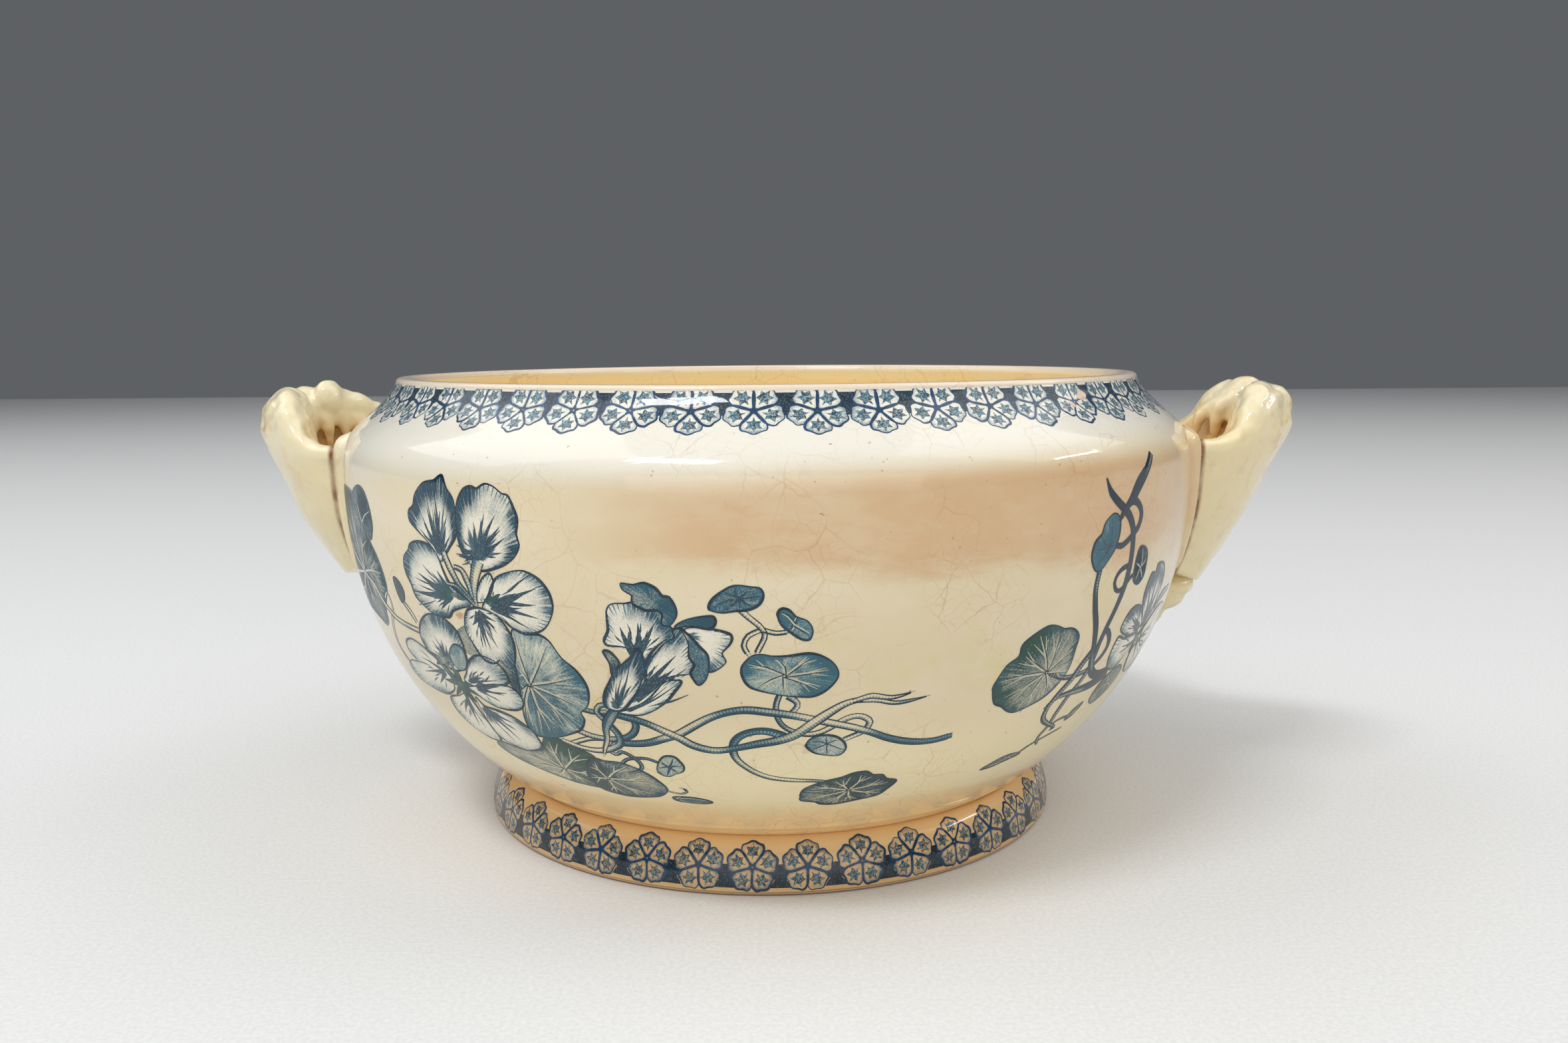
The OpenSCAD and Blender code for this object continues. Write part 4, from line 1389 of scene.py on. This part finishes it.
# The vines: path, width in mm (one value, or several along it), level, and any taper.
VINES = {
    "vines_left": (
        (((-60, 82.6), (-56.5, 80), (-54.6, 76), (-52, 73), (-49.5, 71.9), (-46, 71.2)),
         (1.4, 1.6, 1.4), 3),
        (((-53.6, 77.6), (-52.2, 79.6), (-51.8, 76), (-52.6, 73)), 0.7, 1),
        (((-53, 72.6), (-54.8, 67), (-55.2, 62), (-53.6, 57.6), (-51.5, 55)), 1.0, 1),
        (((-47.8, 78.4), (-46.6, 76.2), (-45.8, 73.6)), (1.0, 1.6, 1.2), 2),
        (((-23.6, 49.2), (-21.5, 47.6), (-19, 47.2), (-17.2, 48), (-15.8, 50), (-15.2, 52.5),
         (-15.4, 55)), (1.6, 1.8, 1.5), 2),
        (((-25.6, 43.4), (-24, 45), (-22, 46.6), (-20, 47), (-18.4, 46.6)), 1.3, 1),
        (((-26.5, 44.6), (-24, 42.8), (-21.6, 42.4), (-19.6, 43.6), (-18, 45.8), (-17.8, 48.6),
         (-18.4, 51.4), (-19.2, 54), (-19.8, 56), (-19.2, 58), (-18, 58.6)),
         (1.3, 1.6, 1.9, 1.6, 1.3), 3),
        (((-17.2, 57.2), (-18.2, 54.6), (-19.2, 51), (-19.6, 47), (-20.4, 43.6), (-21.1, 40.2)),
         (2.4, 2.6, 1.5, 1.2, 0.3), 5),
        (((-20, 43), (-19.3, 41.7), (-18.7, 42.2), (-18.2, 42.9), (-17.2, 41.8), (-16.3, 39.6),
         (-16.2, 37.2), (-17.2, 35.4), (-18.6, 34.4)), (1.1, 0.9, 0.8), 2),
        (((-18.8, 38.4), (-18, 40), (-16.4, 41), (-14.8, 41), (-13.6, 39.8)), 0.8, 1),
        (((-14.4, 28.2), (-12.8, 26.8), (-11.4, 27), (-11, 28.8), (-12, 29.4)), 0.5, 1),
        (((-22, 56.6), (-20.2, 55.8), (-18.4, 56.2)), 1.5, 1),
    ),
    "vines_middle": (
        (((-19.4, 43.8), (-18.2, 46), (-16, 46.4), (-14, 47.2), (-12, 49), (-10.2, 50.6),
         (-8, 53.8), (-6, 56.4), (-4, 58), (-2, 58.6), (0.5, 57.9), (3.5, 56.6), (7, 54.4),
         (10, 52.4), (12.5, 50.2), (15, 47.6), (18, 45.6), (21, 45), (23.6, 45.9)),
         (1.8, 2.2, 1.9, 2.0, 1.8, 1.9, 1.9), 2),
        (((-18, 56.2), (-16, 55), (-14, 53.8), (-12, 51.6), (-10, 49.2), (-8.4, 46.8), (-6, 45.5),
         (-3.5, 46.4), (-1, 47.8), (1.6, 49), (3.6, 50.8), (5.4, 54), (7.4, 57.4), (9.2, 59.8),
         (11, 60.6)), (1.9, 1.9, 2.2, 1.8, 2.5, 2.4, 1.2), 3),
        (((9.8, 60.2), (12, 61.4), (13.6, 60.6), (15, 60.6), (17, 61.7)), (1.0, 1.5, 0.9, 0.4), 4,
         (0, 0.3)),
        (((10, 60.2), (12.6, 60), (14.8, 58.8), (17, 59.2), (19, 60)), (0.9, 1.1, 0.8, 0.4), 3,
         (0, 0.3)),
        (((2.2, 50.2), (0.6, 51.8), (-1, 52), (-2.6, 50.8), (-3.6, 48.4), (-3.8, 45), (-3.4, 42),
         (-1.8, 38.2), (0.4, 35.4), (3.4, 33.9), (7, 33), (9.4, 31.4), (11.3, 28)),
         (2.2, 1.9, 1.6, 1.5, 1.1, 0.8), 1),
        (((1.7, 62.8), (1.3, 59.6), (1.5, 56), (2.5, 52.8), (4.6, 50.8), (6.4, 51.2), (8, 53.2),
         (9.4, 55.2), (11, 55.6), (12.2, 53.4), (11.6, 50.8), (10, 49), (8.8, 47.8)),
         (1.1, 1.2, 1.5, 1.5, 1.2), 1),
        (((2.6, 62.4), (3.7, 60.4), (3.4, 58.4), (2.6, 57)), (1.5, 1.3, 1.0), 1),
        (((-2.2, 84.6), (-1, 82), (0, 80), (0.2, 77.6), (-0.5, 75.4), (-0.7, 73)), (1.3, 1.1, 1.0),
         1),
        (((0, 79.8), (1.3, 79), (3, 79.4)), (1.0, 0.8), 1),
        (((-0.3, 79.7), (-1.5, 78.4), (-2, 76), (-1.4, 73.2)), 1.0, 1),
    ),
    "vines_right": (
        (((40.5, 109), (41.4, 105.4), (43.2, 102.2), (45, 99.4), (46.2, 95.8), (46.6, 91),
         (46.6, 85), (46.2, 80), (45.4, 75), (44.5, 70), (44, 65), (44, 60.5), (43.4, 55.5),
         (42, 50.5), (41.4, 45), (41.4, 40.5), (40.8, 36.5), (42, 33)),
         (1.9, 2.0, 1.9, 1.7, 1.6, 1.4, 0.8), 2, (0.06, 0.0)),
        (((50.4, 113.4), (49, 109.8), (47, 106), (45.9, 103.2), (44.4, 100.8), (43.2, 98)),
         (1.6, 2.4, 3.4, 3.0, 1.6, 1.2), 3),
        (((45.4, 102.6), (47, 101.8), (48, 98.8), (47.6, 96), (45.8, 93.2), (44, 91.6),
         (42.4, 92.4)), (1.9, 1.5, 1.2), 1),
        (((40.4, 86.6), (40.2, 82), (40.9, 76.6), (42, 71.4), (42.9, 66), (43.6, 61.5),
         (44.8, 57.4), (46.8, 55.2), (50, 55.2)), (1.5, 1.7, 1.6, 2.2, 3.0), 3),
        (((50, 54.4), (47.4, 52.4), (44.5, 51.8), (41.6, 51.8), (39.4, 51.2), (37.8, 48.4)),
         (2.8, 2.8, 2.2, 1.3, 0.6), 4),
        (((43.2, 64.6), (41.8, 60.6), (40.8, 56.4), (39.4, 52.6), (38.5, 48.4), (38.9, 44.6),
         (40.6, 42), (42.6, 40), (43.4, 38.8), (42.6, 38.4)), (1.8, 1.8, 1.5, 1.2, 0.8), 5),
        (((35.2, 61.2), (37, 59.4), (39.2, 57.8), (42, 57.6), (44, 58.6), (45.6, 60.8), (46.4, 64),
         (45.8, 67.4), (44.6, 69.8)), (1.1, 1.3, 1.4), 1),
        (((46.4, 86), (44.6, 85.2), (43.8, 82.4), (44.8, 79.8), (46.2, 80.8), (47.4, 83),
         (48.4, 83.2)), (1.2, 0.9), 1),
        (((41.6, 40.2), (43.2, 42), (45.2, 42)), 0.8, 1),
        (((38.6, 31.8), (40.2, 34.2), (43, 36), (46, 37.4)), 0.7, 1),
    ),
}


def flower_side(s):
    """The flower that runs round towards the right handle."""
    s.leaf("leaf_side", (52.6, 49.6), [
        (49.2, 46), (49.4, 50), (51, 53.4), (53.6, 55), (55.6, 52.6), (55.4, 48), (53.4, 44.4),
        (51, 43.2)], "green", 2, 5, 0.4)
    s.petal("flower_side_far", (57.4, 62), [
        (57, 64), (60.6, 69.6), (64.6, 69), (66.4, 63.6), (64, 58.4), (60, 58)],
        [(62.6, 66), (62, 61)], "petal_pale", 3, 1.3)
    s.petal("flower_side_low", (57, 60), [
        (55.8, 59), (57, 52.4), (60, 49.6), (63, 52), (62, 57), (59, 60)],
        [(60, 53.4)], "petal_pale", 3, 1.3)
    s.petal("flower_side_top", (56, 66), [
        (55, 67), (53.4, 72), (52.6, 77), (53.4, 81.8), (54.9, 81.6), (55, 83.6), (57.2, 83.2),
        (58.8, 79), (58.6, 74), (57.6, 69)],
        [(53.8, 78.5), (55.6, 80.5), (57.6, 77), (57.8, 72)], "petal_deep", 4, 3.0)
    s.petal("flower_side_left", (54.6, 65.4), [
        (55, 66.6), (53.4, 71.6), (51.4, 73.6), (49.4, 72.6), (48.4, 68.4), (50, 66), (52.6, 64.6)],
        [(50.2, 71), (51.6, 70.2), (52.2, 67)], "petal_deep", 5, 2.2)
    s.petal("flower_side_left_low", (54, 61.6), [
        (54.6, 64), (52.6, 64.6), (50.6, 64.4), (48.6, 65.6), (48.2, 60), (49.4, 56), (51.4, 55.2),
        (53.2, 57.8)], [(50.8, 62), (51.4, 59.4)], "petal_pale", 5, 1.3)
    s.star((55.4, 62.6), [(57.4, 66), (53.8, 66), (52.8, 61), (55, 58), (57.8, 60)], 1.5, "hearts", 6)
    s.vine("vines_right", [(58.6, 70.2), (61, 73), (64.4, 74)], (1.4, 2.8, 1.4), 2)


def draw_spray(word, turn0):
    s = Spray(word, turn0)
    leaves(s)
    for group, vines in VINES.items():
        for vine in vines:
            s.vine(group, *vine)
    flower_high(s)
    flower_low(s)
    trumpet(s)
    flower_side(s)
    s.finish()


draw_spray("front", 0.0)
draw_spray("back", 180.0)


# ---------------------------------------------------------------- print: the flower bands
def floret_petal(sheet, base, tip, half):
    """Outline of a small petal: a narrow claw that opens to a broad, faintly notched end."""
    k = float(sheet.per_degree((base[1] + tip[1]) / 2))
    axis = np.array([(tip[0] - base[0]) * k, tip[1] - base[1]])
    side = np.array([-axis[1], axis[0]]) / np.linalg.norm(axis)
    a = np.linspace(-math.pi, math.pi, 30, endpoint=False)
    reach = (1 + np.cos(a)) / 2
    y = reach ** 0.86 * (1 + 0.05 * np.cos(a * 6) * np.exp(-(a / 1.2) ** 2))
    x = half * np.sin(a) * (0.22 + 0.86 * reach ** 0.6) * 1.12
    d = np.outer(y, axis) + np.outer(x, side)
    return np.stack([base[0] + d[:, 0] / k, base[1] + d[:, 1]], 1)


# A floret's outline and the little crosses at its heart: line widths, and the crosses' reach.
FLORET_LINE = 0.46
CROSS_LINE = 0.28
CROSS_REACH = 1.7
# Half of a lobed mark's outline: angle from its tip, and length.
MARK = ((0, 0.40), (0.34, 0.23), (0.85, 0.36), (1.3, 0.19), (2.0, 0.27), (2.7, 0.12), (3.14, 0.30))


def lobe_mark(sheet, centre, a, size, k):
    """A small leaf with five points on a petal."""
    middle = (centre[0] + 0.56 * size * math.cos(a) / k, centre[1] + 0.56 * size * math.sin(a))
    outline = []
    for turn, length in MARK + tuple((-t, r) for t, r in MARK[-2:0:-1]):
        outline.append((middle[0] + length * size * math.cos(a + turn) / k,
                        middle[1] + length * size * math.sin(a + turn)))
    sheet.fan(middle, outline, MARK_LIFT, rings=3)


def block(sheet, turn, top, low, pitch):
    """A dark block between two flowers: wide at the band's edge, narrow towards its middle."""
    points, uvs = [], []
    for j in range(7):
        t = j / 6
        half = pitch * (0.20 - 0.075 * t - 0.09 * math.sin(math.pi * t) ** 2 * (t < 0.5))
        for i in range(5):
            u = i / 2 - 1
            points.append((turn + half * u, top + (low - top) * t))
            uvs.append((u, t))
    sheet.grid(points, uvs, (7, 5), BLOCK_LIFT)


def band(word, surface, count, middle, size, sections, edge, first):
    """A ring of five-petal flowers with dark blocks between them, in sections."""
    pitch = 360 / count
    rng = random.Random(SEED + count)
    per = count // sections
    for part in range(sections):
        lines, fills, blocks, marks = (Print(surface) for _ in range(4))
        # The last section takes what is left over.
        last = count if part == sections - 1 else (part + 1) * per
        for i in range(part * per, last):
            turn = first + i * pitch
            k = float(lines.per_degree(middle))
            centre = (turn + rng.uniform(-0.08, 0.08), middle + rng.uniform(-0.12, 0.12))
            spin = math.radians(rng.uniform(-4, 4))
            for p in range(5):
                a = math.radians(-90 + 72 * p) + spin
                away = np.array([math.cos(a) / k, math.sin(a)])
                outline = floret_petal(lines, np.array(centre) + 0.3 * away,
                                       np.array(centre) + size * away, size * 0.47)
                fills.fan(np.array(centre) + 0.5 * size * away, outline, FLORET_LIFT, rings=4)
                lines.stroke(outline, FLORET_LINE, FLORET_LINE_LIFT, closed=True, wave=0.45,
                             spacing=0.7)
                lobe_mark(marks, centre, a, size, k)
                b = a + math.radians(36)
                c = b + math.radians(144)
                ends = [(centre[0] + CROSS_REACH * math.cos(w) / k,
                         centre[1] + CROSS_REACH * math.sin(w)) for w in (b, c)]
                lines.stroke(ends, CROSS_LINE, FLORET_CROSS_LIFT, spacing=0.7)
            block(blocks, turn + pitch / 2, edge[0], edge[1], pitch)
        lines.piece(f"{word}_band_lines_{part + 1}", "band_line")
        foot = "foot_" if word == "foot" else ""
        fills.piece(f"{word}_band_petals_{part + 1}", foot + "band")
        marks.piece(f"{word}_band_marks_{part + 1}", "mark")
        blocks.piece(f"{word}_band_blocks_{part + 1}", foot + "block")


RIM_MIDDLE = TOP_CLIMB - 5.3
FOOT_MIDDLE = 9.0
band("rim", profile_at, 50, RIM_MIDDLE, 6.8, 5, (TOP_CLIMB - 0.5, TOP_CLIMB - 6.6), 6.3)
band("foot", foot_at, 38, FOOT_MIDDLE, 6.5, 4, (14.4, 8.4), -2.6)


def flake_and_glint_spot(name, centre, size, turns):
    """A small orange-brown spot. On the petals it is where the glaze has flaked and stained; on the rim it
    is a painted reflection of a warm glint.
    """
    sheet = Print()
    k = float(sheet.per_degree(centre[1]))
    outline = []
    for i, grow in enumerate(turns):
        a = 2 * math.pi * i / len(turns)
        outline.append((centre[0] + size * grow * math.cos(a) / k, centre[1] + size * grow * math.sin(a)))
    sheet.fan(centre, spline(outline, True, sheet, 0.5), SPOT_LIFT, rings=5)
    sheet.piece(name, "flake_and_glint_spot")


# The two spots on the rim are painted reflections of a warm glint; the two on the petals are flaked stains.
flake_and_glint_spot("glint_rim_large", (44.6, 133.5), 2.2, (1, 0.6, 0.9, 0.5, 1.2, 0.7, 0.8))
flake_and_glint_spot("glint_rim_small", (41.5, 130.5), 1.2, (1, 0.6, 1.1, 0.5, 0.8))
flake_and_glint_spot("chip_petal_brown", (-36.2, 77.4), 1.5, (1.3, 0.6, 0.5, 1.2, 0.7, 0.5))
flake_and_glint_spot("chip_petal_small", (-31.5, 98.6), 0.8, (1.5, 0.5, 0.6, 1.4, 0.6, 0.5))


# ---------------------------------------------------------------- camera, light, floor
def look(position, lens, pitch, roll):
    data = bpy.data.cameras.new("camera")
    data.lens = lens
    data.sensor_width = 36
    data.clip_start = 0.01
    camera = bpy.data.objects.new("camera", data)
    camera.location = Vector(position) * MM
    tilt = Euler((math.radians(90 - pitch), 0, 0)).to_matrix().to_4x4()
    turn = Euler((0, 0, math.radians(roll))).to_matrix().to_4x4()
    camera.rotation_euler = (tilt @ turn).to_euler()
    scene.collection.objects.link(camera)
    scene.camera = camera


def lamp(name, position, target, size, power, colour):
    data = bpy.data.lights.new(name, "AREA")
    data.shape = "RECTANGLE"
    data.size, data.size_y = size
    data.energy = power
    data.color = colour
    obj = bpy.data.objects.new(name, data)
    obj.location = position
    obj.rotation_euler = (Vector(target) - Vector(position)).to_track_quat("-Z", "Y").to_euler()
    scene.collection.objects.link(obj)


look((4.8, -398.9, 141.1), 29.5, 8.08, -0.45)
scene.view_settings.view_transform = "Standard"
# Name, place, the point it faces, size, watts and colour.
LAMPS = (
    ("window", (-0.47, -0.71, 1.43), (0, 0, 0.1), (0.50, 0.22), 9, (0.97, 0.99, 1.0)),
    ("sky", (0.0, -0.5, 2.2), (0, -0.5, 0), (5.0, 4.0), 35, (1.0, 0.99, 0.97)),
    ("front_fill", (0.1, -2.2, 0.60), (0, 0, 0.05), (3.2, 1.3), 16, (1.0, 0.97, 0.93)),
    ("left_high", (-1.6, 0.2, 1.9), (0, 0, 0.1), (1.8, 1.8), 16, (0.98, 0.99, 1.0)),
    ("right_high", (1.6, 0.2, 1.9), (0, 0, 0.1), (1.8, 1.8), 13, (1.0, 0.99, 0.97)),
    ("right_glint", (1.0, -0.02, 0.62), (0, 0, 0.1), (0.34, 0.04), 0.9, (1.0, 0.97, 0.92)),
)
for row in LAMPS:
    lamp(*row)

world = bpy.data.worlds.new("world")
world.use_nodes = True
background = world.node_tree.nodes["Background"].inputs
background[0].default_value = (0.80, 0.84, 0.90, 1)
background[1].default_value = 0.14
scene.world = world

FLOOR = 3.0
floor_mesh = bpy.data.meshes.new("floor")
floor_mesh.from_pydata([(-FLOOR, -FLOOR, 0), (FLOOR, -FLOOR, 0), (FLOOR, FLOOR, 0), (-FLOOR, FLOOR, 0)],
                       [], [(0, 1, 2, 3)])
floor = bpy.data.objects.new("floor", floor_mesh)
scene.collection.objects.link(floor)
g = Graph("pale_floor")
weave = g.noise(900, 2, 0.5)
floor_mesh.materials.append(g.finish(
    g.mix(weave.step(0.3, 0.7), (0.74, 0.74, 0.74, 1), (0.80, 0.80, 0.80, 1)),
    weave, bump=0.05, rough=0.9, coat=0.0))
